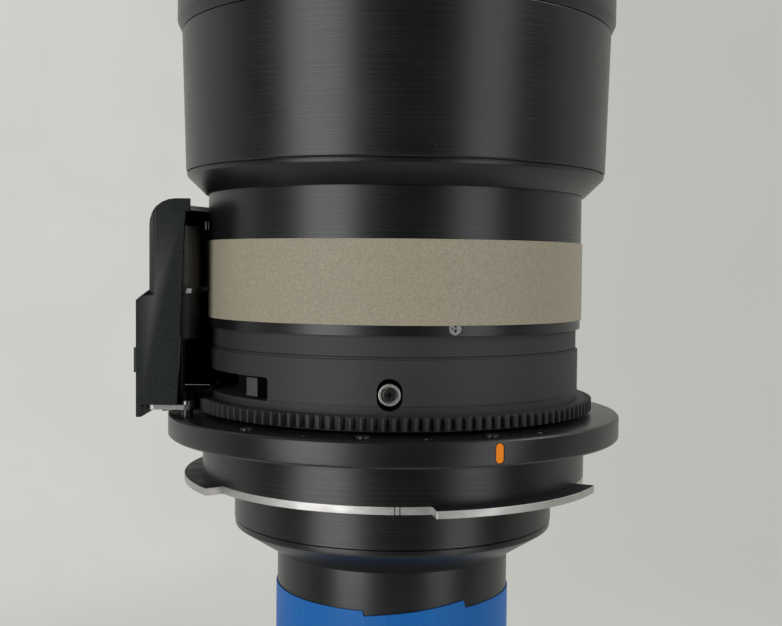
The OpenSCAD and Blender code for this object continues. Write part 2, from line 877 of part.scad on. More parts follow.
module zoom_gearbox() {
    color("#3b3c3e") gearbox(zoom_motor_x, zoom_motor_y, zoom_gearbox_z);
}

module focus_gearbox() {
    color("#3b3c3e") gearbox(focus_motor_x, focus_motor_y, focus_gearbox_z);
}

module zoom_pinion() {
    direction = atan2(zoom_motor_y, zoom_motor_x);
    color("#c9b268")
        translate([zoom_motor_x, zoom_motor_y, 0])
            pinion(zoom_pinion_teeth, gear_module, gear_z - pinion_over, gear_z + gear_w + pinion_over,
                direction + 180, gear_z - 2 * pinion_over, zoom_gearbox_z + shaft_seat);
}

module focus_pinion() {
    direction = atan2(focus_motor_y, focus_motor_x);
    color("#e6e2d4")
        translate([focus_motor_x, focus_motor_y, 0])
            pinion(focus_pinion_teeth, focus_module, focus_gear_z + pinion_over, focus_gear_z + focus_gear_h
                - pinion_hub_gap - hub_h, direction + 180, focus_gear_z, focus_gearbox_z + shaft_seat);
}

module drive_board() {
    color("#2c5a3c")
        difference() {
            translate([-board_x - board_t, board_near, board_low])
                cube([board_t, board_far - board_near, board_high - board_low]);
            for (z = board_screw_z)
                side_pin(board_screw_y, z, board_shank_d / 2 + seat_gap,
                    board_x - cut, board_x + board_t + cut);
        }
}

module board_screws() {
    outer = board_x + board_t;
    color("#b9b8b2")
        for (z = board_screw_z) {
            side_pin(board_screw_y, z, board_head_d / 2, outer, outer + board_head_h);
            side_pin(board_screw_y, z, board_shank_d / 2, tongue_x - sheet_t, outer);
        }
}

module drive_connector() {
    base = board_x + board_t;
    color("#e8e4d6")
        difference() {
            translate([-base - socket_reach, socket_y - socket_w / 2, socket_z - socket_h / 2])
                cube([socket_reach, socket_w, socket_h]);
            translate([-base - socket_reach - cut, socket_y - socket_w / 2 + socket_wall,
                    socket_z - socket_h / 2 + socket_wall])
                cube([socket_reach - socket_floor + cut, socket_w - 2 * socket_wall,
                    socket_h - 2 * socket_wall]);
        }
}

module connector_pins() {
    base = board_x + board_t + socket_floor;
    color("#c9b268")
        for (i = [0 : pin_count - 1])
            side_pin(socket_y + (i - (pin_count - 1) / 2) * pin_step, socket_z, contact_d / 2,
                base, base + contact_h);
}

// Side outline of the cover in X and Z, drawn in by a wall
function cover_outline(wall, low, edge) = concat(
    [[-cover_reach + wall, low], [-cover_reach + wall, cover_step_z - wall / 2]],
    [[-cover_reach + cover_step + wall, cover_step_z + cover_step_rise - wall / 2]],
    [
        for (i = [0 : cover_corner_steps])
            let (angle = 90 * i / cover_corner_steps, radius = cover_corner - wall)
                [-cover_reach + cover_step + cover_corner - radius * cos(angle),
                    cover_top_z - cover_corner + radius * sin(angle)]
    ],
    edge
);

// The outline stretched across the drive unit
module cover_prism(points, half_y) {
    translate([0, half_y, 0]) rotate([90, 0, 0]) linear_extrude(2 * half_y) polygon(points);
}

module drive_cover() {
    inner_y = cover_half_y - cover_wall;
    bevel_z = cover_step_z + cover_step_rise / 2;
    bevel_side = cover_bevel * sqrt(2);
    skin = cover_outline(0, cover_low, [[-cover_edge_top, cover_top_z], [-cover_edge_low, cover_low]]);
    hollow = cover_outline(cover_wall, cover_low - cut,
        [[0, cover_top_z - cover_wall], [0, cover_low - cut]]);
    color("#26292b")
        difference() {
            union() {
                difference() {
                    cover_prism(skin, cover_half_y);
                    cover_prism(hollow, inner_y);
                    translate([-cover_reach + cover_wall, -cover_half_y - cut, cover_low - cut])
                        cube([cover_reach, 2 * (cover_half_y + cut), cover_side_low - cover_low + cut]);
                    translate([0, 0, cover_step_z]) cylinder(r = hood_r + free_gap, h = cover_top_z);
                    for (side = [-1, 1])
                        translate([-cover_reach + cover_step, side * cover_half_y, bevel_z])
                            rotate([0, 0, 45])
                                translate([-bevel_side / 2, -bevel_side / 2, 0])
                                    cube([bevel_side, bevel_side, cover_top_z]);
                }
                for (z = cover_screw_z)
                    side_pin(cover_screw_y, z, cover_boss_r, tongue_x, cover_reach - cut / 2);
                translate([-cover_edge_top - clip_w / 2, -cover_half_y, cover_top_z - clip_h])
                    cube([clip_w, cover_wall, clip_h]);
            }
            for (z = cover_screw_z)
                side_pin(cover_screw_y, z, cover_screw_d / 2, tongue_x - cut, cover_reach + cut);
            translate([-cover_reach - cut, socket_y - socket_w / 2 - free_gap,
                    socket_z - socket_h / 2 - free_gap])
                cube([cover_wall + 2 * cut, socket_w + 2 * free_gap, socket_h + 2 * free_gap]);
        }
}

module cover_screws() {
    color("#8f8f8c")
        for (z = cover_screw_z) {
            side_pin(cover_screw_y, z, cover_head_d / 2, cover_reach, cover_reach + cover_head_h);
            side_pin(cover_screw_y, z, cover_screw_d / 2, tongue_x - sheet_t, cover_reach);
        }
}

module zoom_ring() {
    outline = [
        [zoom_bore_r, zoom_ring_z], [zoom_ring_r - foot_step, zoom_ring_z],
        [zoom_ring_r - foot_step, zoom_ring_z + foot_h], [zoom_ring_r, zoom_ring_z + foot_h],
        [zoom_ring_r, zoom_ring_top - top_groove_w],
        [zoom_ring_r - top_groove_d, zoom_ring_top - top_groove_w],
        [zoom_ring_r - top_groove_d, zoom_ring_top], [zoom_neck_r, zoom_ring_top],
        [zoom_neck_r, zoom_neck_top], [zoom_bore_r, zoom_neck_top]
    ];
    vari_low = vari_z - variator_travel;
    vari_high = vari_z + variator_travel * zoom_back_turn / zoom_turn;
    slot_w = roller_d + 2 * slot_gap;
    color("#2a2b2d")
        difference() {
            rotate_extrude() polygon(outline);
            ring_sector(zoom_ring_r + cut, zoom_bore_r - cut, zoom_ring_z + window_lift,
                zoom_ring_z + window_lift + window_h, window_start, window_end);
            for (i = [0 : 2]) {
                radial_slot(oblong_w, oblong_h, guide_r - cut, zoom_ring_r + cut,
                    comp_angle + i * 120, comp_z);
                radial_slot(slot_w, vari_high - vari_low + slot_w + 2 * slot_gap,
                    guide_r - cut, zoom_neck_r + cut, vari_angle + i * 120, (vari_low + vari_high) / 2);
            }
        }
}

module zoom_gear() {
    direction = atan2(zoom_motor_y, zoom_motor_x);
    color("#b3b1a8")
        translate([0, 0, gear_z])
            linear_extrude(gear_w)
                difference() {
                    rotate([0, 0, direction + 180 / gear_teeth])
                        polygon(tooth_points(gear_teeth, gear_module, 0, gear_teeth - 1, 1));
                    circle(r = zoom_ring_r - foot_step + seat_gap);
                }
}

module thrust_washer() {
    color("#e9e6da") tube(zoom_ring_r - 2 * top_groove_d, skirt_bore_r, zoom_ring_top, focus_gear_z);
}

// Sliding cell with a lip below its lens seat and holes for its rollers
module sliding_cell(z, angle, height, lens_r) {
    low = z - height / 2;
    high = z + height / 2;
    outline = [
        [lens_r - cell_lip, low], [cell_r, low], [cell_r, high], [lens_r + lens_gap, high],
        [lens_r + lens_gap, low + cell_lip_t], [lens_r - cell_lip, low + cell_lip_t]
    ];
    difference() {
        rotate_extrude() polygon(outline);
        for (i = [0 : 2]) {
            radial_pin(roller_d / 2 + seat_gap, cell_r - roller_seat, cell_r + cut, angle + i * 120, z);
            radial_pin(roller_screw_d / 2, lens_r - cut, cell_r + cut, angle + i * 120, z);
        }
    }
}

// Three rollers that stand out of a cell, bored for their screws
module rollers(z, angle, outer) {
    difference() {
        for (i = [0 : 2])
            radial_pin(roller_d / 2, cell_r - roller_seat, outer, angle + i * 120, z);
        for (i = [0 : 2]) {
            radial_pin(roller_screw_d / 2 + seat_gap, cell_r - roller_seat - cut, outer + cut,
                angle + i * 120, z);
            radial_pin(roller_head_d / 2 + seat_gap, outer - roller_head_h, outer + cut,
                angle + i * 120, z);
        }
    }
}

module roller_screws(z, angle, outer, lens_r) {
    for (i = [0 : 2]) {
        radial_pin(roller_screw_d / 2, lens_r + 2 * free_gap, outer - roller_head_h, angle + i * 120, z);
        radial_pin(roller_head_d / 2, outer - roller_head_h, outer - run_gap, angle + i * 120, z);
    }
}

module compensator_cell() {
    color("#202123") sliding_cell(comp_z, comp_angle, cell_h, comp_lens_r);
}

module compensator_element() {
    color(glass_color)
        translate([0, 0, comp_z - cell_h / 2 + cell_lip_t])
            lens(comp_lens_r, comp_lens_edge, comp_bulge, -comp_bulge);
}

module compensator_retaining_ring() {
    low = comp_z - cell_h / 2 + cell_lip_t + comp_lens_edge;
    color("#1c1d1f") tube(comp_lens_r, comp_lens_r - cell_lip, low, low + retainer_t);
}

module compensator_rollers() {
    color("#d2cfc4") rollers(comp_z, comp_angle, zoom_ring_r - roller_sink);
}

module compensator_roller_screws() {
    color("#2e2f31") roller_screws(comp_z, comp_angle, zoom_ring_r - roller_sink, comp_lens_r);
}

module variator_cell() {
    color("#202123") sliding_cell(vari_z, vari_angle, vari_cell_h, vari_lens_r);
}

module variator_front_element() {
    color(glass_color)
        translate([0, 0, vari_z - vari_cell_h / 2 + cell_lip_t + vari_lens_edge + vari_lens_step])
            lens(vari_lens_r, vari_lens_edge, -vari_hollow, -vari_hollow);
}

module variator_rear_element() {
    color(glass_color)
        translate([0, 0, vari_z - vari_cell_h / 2 + cell_lip_t])
            lens(vari_lens_r, vari_lens_edge, -vari_hollow, -vari_hollow);
}

module variator_retaining_ring() {
    low = vari_z - vari_cell_h / 2 + cell_lip_t + 2 * vari_lens_edge + vari_lens_step;
    color("#1c1d1f") tube(vari_lens_r, vari_lens_r - cell_lip, low, low + retainer_t);
}

module variator_rollers() {
    color("#d2cfc4") rollers(vari_z, vari_angle, zoom_neck_r - run_gap);
}

module variator_roller_screws() {
    color("#2e2f31") roller_screws(vari_z, vari_angle, zoom_neck_r - run_gap, vari_lens_r);
}

module focus_sleeve() {
    reach = slot_end(pin_d, sleeve_bore_r);
    sweep = 2 * (focus_turn + reach);
    height = slot_height(pin_d, sleeve_bore_r, focus_turn, focus_travel);
    color("#29292b")
        difference() {
            tube(sleeve_r, sleeve_bore_r, sleeve_z, sleeve_top);
            for (i = [0 : 2]) {
                from = pin_angle + i * 120 - sweep / 2;
                helix_slot(sleeve_r + cut, sleeve_bore_r - cut, height, pin_z, from, from + sweep,
                    -focus_travel * sweep / focus_turn);
                sleeve_screw_hole(sleeve_screw_angle + i * 120, seat_gap);
            }
        }
}

// Sunk seat and bore of one sleeve screw
module sleeve_screw_hole(angle, gap) {
    z = sleeve_z + sleeve_screw_lift;
    head_low = sleeve_r - sleeve_head_sink - sleeve_head_h;
    radial_pin(sleeve_head_d / 2 + gap, head_low - gap, sleeve_r + cut, angle, z);
    radial_pin(sleeve_screw_d / 2 + gap, skirt_bore_r - cut, sleeve_r, angle, z);
}

module sleeve_screws() {
    head_low = sleeve_r - sleeve_head_sink - sleeve_head_h;
    z = sleeve_z + sleeve_screw_lift;
    color("#c6c4bc")
        for (i = [0 : 2]) {
            angle = sleeve_screw_angle + i * 120;
            radial_pin(sleeve_head_d / 2, head_low, head_low + sleeve_head_h, angle, z);
            radial_pin(sleeve_screw_d / 2, skirt_bore_r + seat_gap, head_low, angle, z);
        }
}

module focus_gear() {
    direction = atan2(focus_motor_y, focus_motor_x);
    tooth_turn = 360 / focus_teeth;
    side_teeth = ceil((focus_turn + focus_tooth_margin) / tooth_turn);
    inner = focus_gear_root_r - focus_module;
    teeth = tooth_points(focus_teeth, focus_module, -side_teeth, side_teeth - 1, 1);
    back = [
        for (i = [side_teeth : -1 : -side_teeth - 1])
            [inner * cos(i * tooth_turn), inner * sin(i * tooth_turn)]
    ];
    start = direction + 90 + (side_teeth + 0.5) * tooth_turn;
    color("#2b2c2e")
        difference() {
            union() {
                tube(focus_gear_root_r, skirt_bore_r, focus_gear_z, sleeve_z);
                tube(sleeve_bore_r - seat_gap, skirt_bore_r, focus_gear_z, sleeve_z + focus_spigot_h);
                ring_sector(focus_gear_tip_r, inner, focus_gear_z, sleeve_z,
                    start, start + 360 - (2 * side_teeth + 1) * tooth_turn);
                translate([0, 0, focus_gear_z])
                    rotate([0, 0, direction + tooth_turn / 2])
                        linear_extrude(focus_gear_h) polygon(concat(teeth, back));
            }
            for (i = [0 : 2])
                radial_pin(sleeve_screw_d / 2, skirt_bore_r - cut, sleeve_r, sleeve_screw_angle + i * 120,
                    sleeve_z + sleeve_screw_lift);
        }
}

module accent_band() {
    color("#a39d90") tube(band_r, band_bore_r, band_z, band_z + band_w);
}

module front_barrel() {
    land_z = pocket_z - land_h;
    outline = [
        [skirt_bore_r, skirt_z], [skirt_r, skirt_z], [skirt_r, pocket_z], [sleeve_r + free_gap, pocket_z],
        [sleeve_r + free_gap, lip_z], [sleeve_r + free_gap + lip_w, lip_z],
        [hood_r - edge_round, groove_z - 2 * edge_round], [hood_r - edge_round / 2, groove_z],
        [hood_r - groove_depth, groove_z], [hood_r - groove_depth, hood_z], [hood_bore_r - seat_gap, hood_z],
        [hood_bore_r - seat_gap, shoulder_z], [zoom_bore_r, shoulder_z], [zoom_bore_r, land_z],
        [skirt_bore_r, land_z]
    ];
    color("#242527")
        difference() {
            rotate_extrude() polygon(outline);
            key_shape(land_z - cut, pocket_z, free_gap);
            for (i = [0 : 2])
                radial_pin(pin_d / 2, skirt_bore_r - cut, skirt_r + cut, pin_angle + i * 120, pin_z);
        }
}

module focus_pins() {
    color("#c9c8c2")
        for (i = [0 : 2])
            radial_pin(pin_d / 2, skirt_bore_r + run_gap, sleeve_r - run_gap, pin_angle + i * 120, pin_z);
}

module hood() {
    outline = [
        [hood_bore_r, hood_z], [hood_r - edge_round / 2, hood_z], [hood_r, hood_z + edge_round],
        [hood_top_r, hood_top], [hood_bore_r, hood_top]
    ];
    color("#242527") rotate_extrude() polygon(outline);
}

module front_cell() {
    outer = hood_bore_r - seat_gap;
    outline = [
        [third_r - cell_lip, shoulder_z], [outer, shoulder_z], [outer, cell_top],
        [front_glass_r + lens_gap, cell_top], [front_glass_r + lens_gap, front_glass_z],
        [second_r + lens_gap, front_glass_z], [second_r + lens_gap, second_z],
        [third_r + lens_gap, second_z], [third_r + lens_gap, third_z], [third_r - cell_lip, third_z]
    ];
    color("#1e1f21") rotate_extrude() polygon(outline);
}

module front_element() {
    color(front_glass_color)
        translate([0, 0, front_glass_z]) lens(front_glass_r, front_edge, front_bulge, -front_hollow);
}

module second_element() {
    color(glass_color)
        translate([0, 0, second_z]) lens(second_r, second_edge, -second_top_hollow, -second_low_hollow);
}

module third_element() {
    color(glass_color) translate([0, 0, third_z]) lens(third_r, third_edge, third_bulge, third_bulge);
}

module front_retaining_ring() {
    low = front_glass_z + front_edge;
    color("#1c1d1f") tube(front_glass_r, front_glass_r - cell_lip, low, low + 2 * retainer_t);
}

module front_ring() {
    lip_r = front_glass_r + cell_lip;
    outline = [
        [hood_bore_r, front_z], [hood_top_r, front_z], [front_ring_r, front_z + front_chamfer_h],
        [front_ring_r, front_top - rim_chamfer], [front_ring_r - rim_chamfer, front_top],
        [front_ring_r - front_lip_t, front_top], [lip_r, cell_top + rim_chamfer], [lip_r, cell_top],
        [hood_bore_r, cell_top]
    ];
    color("#242527") rotate_extrude() polygon(outline);
}

mount_flange();
mount_spigot();
bayonet_plate();
bayonet_screws();
flange_screws();
index_mark();
guide_barrel();
zoom_stop();
focus_key();
rear_cone();
rear_tube();
rear_front_element();
rear_middle_element();
rear_end_element();
rear_spacers();
rear_retaining_ring();
tape_wrap();
drive_frame();
drive_spacers();
drive_screws();
zoom_motor();
zoom_gearbox();
focus_motor();
focus_gearbox();
drive_board();
board_screws();
drive_connector();
connector_pins();
drive_cover();
cover_screws();
zoom_ring();
zoom_gear();
thrust_washer();
compensator_cell();
compensator_element();
compensator_retaining_ring();
compensator_rollers();
compensator_roller_screws();
variator_cell();
variator_front_element();
variator_rear_element();
variator_retaining_ring();
variator_rollers();
variator_roller_screws();
focus_sleeve();
focus_gear();
accent_band();
sleeve_screws();
front_barrel();
focus_pins();
hood();
front_ring();
front_cell();
front_element();
second_element();
third_element();
front_retaining_ring();
zoom_pinion();
focus_pinion();
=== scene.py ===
# Dresses the CAD frame of a motor driven zoom projection lens, piece by piece, from its
# mount to its front glass. Outlines are in millimetres, as on a drawing, radius first.
import math

import bmesh
import bpy
from mathutils import Matrix, Vector


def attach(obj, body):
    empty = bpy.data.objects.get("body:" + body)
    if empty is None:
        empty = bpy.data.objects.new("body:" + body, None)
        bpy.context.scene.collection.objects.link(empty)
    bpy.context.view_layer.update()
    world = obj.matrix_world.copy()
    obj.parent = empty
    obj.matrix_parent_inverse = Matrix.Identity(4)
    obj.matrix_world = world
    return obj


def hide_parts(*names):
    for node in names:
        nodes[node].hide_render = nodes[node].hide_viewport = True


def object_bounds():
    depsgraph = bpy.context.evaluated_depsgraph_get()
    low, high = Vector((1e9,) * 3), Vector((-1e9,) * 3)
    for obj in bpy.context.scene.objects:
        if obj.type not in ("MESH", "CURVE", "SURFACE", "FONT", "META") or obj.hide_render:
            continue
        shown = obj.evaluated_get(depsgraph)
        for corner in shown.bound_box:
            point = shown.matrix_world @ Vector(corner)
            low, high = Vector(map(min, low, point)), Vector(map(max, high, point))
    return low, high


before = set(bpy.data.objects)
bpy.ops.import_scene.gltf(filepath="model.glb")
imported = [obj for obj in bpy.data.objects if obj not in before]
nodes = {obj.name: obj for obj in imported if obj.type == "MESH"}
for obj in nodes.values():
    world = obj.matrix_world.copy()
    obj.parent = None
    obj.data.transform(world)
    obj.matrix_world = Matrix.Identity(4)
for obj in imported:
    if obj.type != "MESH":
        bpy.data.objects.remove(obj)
cad_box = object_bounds()

# Camera. It stands 0.3 m in front of the lens, a little above the mount, and looks down
# by two degrees, as the photographer did. Nothing of the object is fixed to it.
VIEW_PLACE = Vector((-0.00087, -0.3037, 0.0447))
VIEW_TILT = math.radians(-2.346)
VIEW_ROLL = math.radians(0.5165)
view = bpy.data.cameras.new("view")
view.sensor_width = 36
view.lens = 50.92
view.clip_start = 0.01
view.clip_end = 20
camera = bpy.data.objects.new("camera", view)
camera.matrix_world = (
    Matrix.Translation(VIEW_PLACE)
    @ Matrix.Rotation(math.pi / 2 + VIEW_TILT, 4, "X")
    @ Matrix.Rotation(VIEW_ROLL, 4, "Z")
)
bpy.context.scene.collection.objects.link(camera)
bpy.context.scene.camera = camera
bpy.context.scene.view_settings.view_transform = "Standard"


# Floor and room. A pale, faintly mottled board carries the lens, and pale walls stand
# beside and behind it, while the room is dark on the photographer's side.
class Signal:
    """A value on a socket. Sums, products and comparisons of it add Math nodes."""

    def __init__(self, network, socket):
        self.network = network
        self.socket = socket

    def math(self, operation, first, second):
        return self.network.node("Math", {"operation": operation}, {0: first, 1: second})

    def __add__(self, other):
        return self.math("ADD", self, other)

    def __sub__(self, other):
        return self.math("SUBTRACT", self, other)

    def __rsub__(self, other):
        return self.math("SUBTRACT", other, self)

    def __mul__(self, other):
        return self.math("MULTIPLY", self, other)

    def __truediv__(self, other):
        return self.math("DIVIDE", self, other)

    def __pow__(self, other):
        return self.math("POWER", self, other)

    def __gt__(self, other):
        return self.math("GREATER_THAN", self, other)

    def __lt__(self, other):
        return self.math("LESS_THAN", self, other)

    __rmul__ = __mul__


class Network:
    """The nodes of one material, or of the world."""

    def __init__(self, owner):
        owner.use_nodes = True
        self.tree = owner.node_tree

    def feed(self, socket, value):
        if isinstance(value, Signal):
            self.tree.links.new(value.socket, socket)
        else:
            socket.default_value = value

    def node(self, kind, settings=None, values=None, output=0):
        made = self.tree.nodes.new("ShaderNode" + kind)
        for name, value in (settings or {}).items():
            setattr(made, name, value)
        for name, value in (values or {}).items():
            self.feed(made.inputs[name], value)
        return Signal(self, made.outputs[output])

    def blend(self, share, first, second):
        """A colour between two others."""
        return self.node("Mix", {"data_type": "RGBA"}, {0: share, 6: first, 7: second}, 2)

    def between(self, value, low, high, at_low=0.0, at_high=1.0):
        """Goes smoothly from at_low to at_high while value goes from low to high."""
        return self.node(
            "MapRange",
            {"interpolation_type": "SMOOTHSTEP"},
            {"Value": value, 1: low, 2: high, 3: at_low, 4: at_high},
        )

    def noise(self, place, spacing, detail=2.0):
        """Soft noise with features of about spacing metres along x, y and z."""
        scaled = self.node("VectorMath", {"operation": "DIVIDE"}, {0: place, 1: spacing})
        return self.node("TexNoise", {}, {"Vector": scaled, "Scale": 1.0, "Detail": detail})

    def part(self, vector, axis):
        return self.node("SeparateXYZ", {}, {0: vector}, axis)


def tone(red, green, blue):
    """A colour as seen on a screen, 0 to 255, as the shaders' linear colour."""
    linear = [
        c / 12.92 if c <= 0.04045 else ((c + 0.055) / 1.055) ** 2.4
        for c in (red / 255, green / 255, blue / 255)
    ]
    return (*linear, 1.0)


world = bpy.data.worlds.new("room")
bpy.context.scene.world = world
room = Network(world)
heading = room.node("TexCoord", output="Generated")
sideways = room.part(heading, "X")
depth = room.part(heading, "Y")
level = (sideways * sideways + depth * depth + 1e-6) ** 0.5
mottle = room.noise(heading, (0.09, 0.09, 0.09), 5.0)
pale = room.blend(
    room.between(sideways, -0.35, 0.35), tone(209, 208, 204), tone(187, 188, 182)
)
pale = room.blend(room.between(mottle, 0.3, 0.7, 0.0, 0.16), pale, tone(184, 184, 180))
walls = room.between(depth / level, -0.3, 0.2, 0.006, 1.0)
seen = room.node("LightPath", output="Is Camera Ray")
background = room.tree.nodes["Background"]
room.feed(background.inputs["Color"], pale)
room.feed(background.inputs["Strength"], seen + (1 - seen) * walls)

FLOOR_R = 0.7
FLOOR_GAP = 0.0001
FADE_START = 0.13
FADE_END = 0.26
BOARD_GLOW = 0.72
floor_shape = bmesh.new()
bmesh.ops.create_circle(floor_shape, cap_ends=True, segments=96, radius=FLOOR_R)
bmesh.ops.translate(floor_shape, verts=floor_shape.verts, vec=(0, 0, cad_box[0].z - FLOOR_GAP))
floor_mesh = bpy.data.meshes.new("floor")
floor_shape.to_mesh(floor_mesh)
floor_shape.free()
floor = bpy.data.objects.new("floor", floor_mesh)
bpy.context.scene.collection.objects.link(floor)
floor_paint = bpy.data.materials.new("floor_paint")
floor_mesh.materials.append(floor_paint)
ground = Network(floor_paint)
spot = ground.node("TexCoord", output="Object")
cloud = ground.noise(spot, (0.05, 0.05, 0.05), 4.0)
paint = ground.tree.nodes["Principled BSDF"]
ground.feed(
    paint.inputs["Base Color"], ground.blend(cloud, tone(214, 213, 209), tone(200, 200, 196))
)
paint.inputs["Roughness"].default_value = 0.9
paint.inputs["Specular IOR Level"].default_value = 0.1
reach = ground.node("VectorMath", {"operation": "LENGTH"}, {0: spot}, "Value")
direct, mirrored, through = (
    ground.node("LightPath", output=ray)
    for ray in ("Is Camera Ray", "Is Glossy Ray", "Is Transmission Ray")
)
shown = direct + (mirrored + through) * (1 - direct)
glow = ground.node("Emission", {}, {"Color": tone(205, 205, 201), "Strength": 1.0})
lit = ground.node(
    "MixShader", {}, {0: shown * BOARD_GLOW, 1: Signal(ground, paint.outputs[0]), 2: glow}
)
clear = ground.node("BsdfTransparent")
faded = ground.node(
    "MixShader", {}, {0: ground.between(reach, FADE_START, FADE_END), 1: lit, 2: clear}
)
ground.feed(ground.tree.nodes["Material Output"].inputs["Surface"], faded)


def soft_box(name, azimuth, height, width, tall, radiance):
    """A soft lamp a metre away, azimuth degrees round from the camera's side."""
    lamp = bpy.data.lights.new(name, "AREA")
    lamp.shape = "RECTANGLE"
    lamp.size = width
    lamp.size_y = tall
    lamp.energy = radiance * math.pi * width * tall
    stand = bpy.data.objects.new(name, lamp)
    stand.matrix_world = (
        Matrix.Rotation(math.radians(azimuth), 4, "Z")
        @ Matrix.Translation((0, -1, height))
        @ Matrix.Rotation(math.pi / 2, 4, "X")
    )
    bpy.context.scene.collection.objects.link(stand)


soft_box("left_box", azimuth=-39, height=0.1, width=0.55, tall=1.3, radiance=3.9)
soft_box("right_box", azimuth=47, height=-0.1, width=0.42, tall=1.3, radiance=2.1)
soft_box("high_box", azimuth=80, height=1.0, width=0.9, tall=0.7, radiance=4.5)


# Mounting flange. A wide turned aluminium ring, black anodised, that seats on the
# projector. Its rim is chamfered, and tapped holes run round its upper face.
MM = 0.001


class Finish(Network):
    """A material: nodes round one shader, on the coordinates of the piece itself."""

    def __init__(self, name, **sockets):
        self.material = bpy.data.materials.new(name)
        super().__init__(self.material)
        self.shader = self.tree.nodes["Principled BSDF"]
        self.place = self.node("TexCoord", output="Object")
        self.set(**sockets)

    def set(self, **sockets):
        """Feeds the shader's sockets: base_color is Base Color, and so on."""
        named = {name.lower().replace(" ", "_"): name for name in self.shader.inputs.keys()}
        for name, value in sockets.items():
            self.feed(self.shader.inputs[named[name]], value)

    def turning(self, spacing):
        """Noise that changes only along the axis and with the radius, as turning marks do."""
        x = self.part(self.place, "X")
        y = self.part(self.place, "Y")
        track = self.part(self.place, "Z") + 1.7 * (x * x + y * y) ** 0.5
        return self.node(
            "TexNoise",
            {"noise_dimensions": "1D"},
            {"W": track / spacing, "Scale": 1.0, "Detail": 3.0},
        )

    def specks(self, spacing, size):
        """1 on small scattered dots, 0 elsewhere."""
        cells = self.node("TexVoronoi", {}, {"Vector": self.place, "Scale": 1 / spacing})
        return cells < size / spacing

    def relief(self, height, distance):
        """Gives the surface fine relief, distance metres high."""
        self.set(normal=self.node("Bump", {}, {"Height": height, "Distance": distance}))


def satin_black(name, shade, roughness, marks):
    """Black anodised aluminium: turning marks, cloudy handling and dust."""
    finish = Finish(name)
    lines = finish.turning(marks)
    cloud = finish.noise(finish.place, (0.012, 0.012, 0.007), 4.0)
    grain = finish.noise(finish.place, (0.00012, 0.00012, 0.00012))
    dust = finish.specks(0.0024, 0.00009)
    worn = tuple(1.6 * c for c in shade[:3]) + (1.0,)
    finish.set(
        base_color=finish.blend(dust, finish.blend(cloud, shade, worn), tone(84, 86, 84)),
        roughness=finish.between(lines, 0.2, 0.8, roughness - 0.05, roughness + 0.06)
        + (cloud - 0.5) * 0.08
        + dust * 0.3,
    )
    finish.relief(lines * 0.6 + grain * 0.4, 0.000006)
    return finish


black_anodised = satin_black("black_anodised", (0.0042, 0.0046, 0.005, 1.0), 0.33, 0.00035)


def ring_of(outline, edge, steps=240):
    """Spins an outline of radius and height round the axis, and rounds its edges."""
    shape = bmesh.new()
    corners = [shape.verts.new((radius * MM, 0, height * MM)) for radius, height in outline]
    sides = [shape.edges.new((corners[i - 1], corners[i])) for i in range(len(corners))]
    bmesh.ops.spin(
        shape,
        geom=corners + sides,
        cent=(0, 0, 0),
        axis=(0, 0, 1),
        angle=math.tau,
        steps=steps,
        use_merge=True,
    )
    bmesh.ops.remove_doubles(shape, verts=shape.verts, dist=1e-7)
    bmesh.ops.recalc_face_normals(shape, faces=shape.faces)
    soften(shape, edge)
    return shape


def round_off(shape, edges, size, segments=2):
    """Rounds the given edges over a size in millimetres."""
    bmesh.ops.bevel(
        shape,
        geom=edges,
        offset=size * MM,
        affect="EDGES",
        segments=segments,
        profile=0.5,
        material=-1,
        clamp_overlap=True,
    )


def soften(shape, size, segments=2, sharp=25):
    """Rounds every edge that turns by more than sharp degrees."""
    limit = math.radians(sharp)
    edges = [e for e in shape.edges if e.is_manifold and e.calc_face_angle() > limit]
    round_off(shape, edges, size, segments)


def at_angle(angle):
    """Turns +X to an angle counted from the front, towards the right."""
    return Matrix.Rotation(math.radians(angle - 90), 4, "Z")


def outward(angle, height):
    """Turns +Z outwards along a radius, at a height in millimetres."""
    lift = Matrix.Translation((0, 0, height * MM))
    return lift @ at_angle(angle) @ Matrix.Rotation(math.pi / 2, 4, "Y")


def upward(radius, angle, height=0.0):
    """Stands on a circle round the axis, at a height, with +Z up."""
    return at_angle(angle) @ Matrix.Translation((radius * MM, 0, height * MM))


def add_bar(shape, low_r, high_r, low, high, place, sides=32):
    """Adds a round bar or cone along the place's own Z, and returns its corners."""
    lift = Matrix.Translation((0, 0, (low + high) / 2 * MM))
    return bmesh.ops.create_cone(
        shape,
        cap_ends=True,
        segments=sides,
        radius1=low_r * MM,
        radius2=high_r * MM,
        depth=(high - low) * MM,
        matrix=place @ lift,
    )["verts"]


def add_slot(shape, width, height, inner, outer, place):
    """Adds a bar with round ends, height long across the place's own X."""
    half_turn = Matrix.Rotation(math.radians(3.75), 4, "Z")
    made = add_bar(shape, width / 2, width / 2, inner, outer, half_turn, 48)
    for corner in made:
        corner.co.x += math.copysign((height - width) / 2 * MM, corner.co.x)
    bmesh.ops.transform(shape, matrix=place, verts=made)


def piece_of(name, shape, finish):
    """Makes an object of a shape, smooth but for its edges."""
    bmesh.ops.recalc_face_normals(shape, faces=shape.faces)
    mesh = bpy.data.meshes.new(name)
    shape.to_mesh(mesh)
    shape.free()
    mesh.materials.append(finish.material)
    piece = bpy.data.objects.new(name, mesh)
    bpy.context.scene.collection.objects.link(piece)
    shade(mesh)
    return piece


def shade(mesh):
    mesh.shade_smooth()
    mesh.set_sharp_from_angle(angle=math.radians(20))


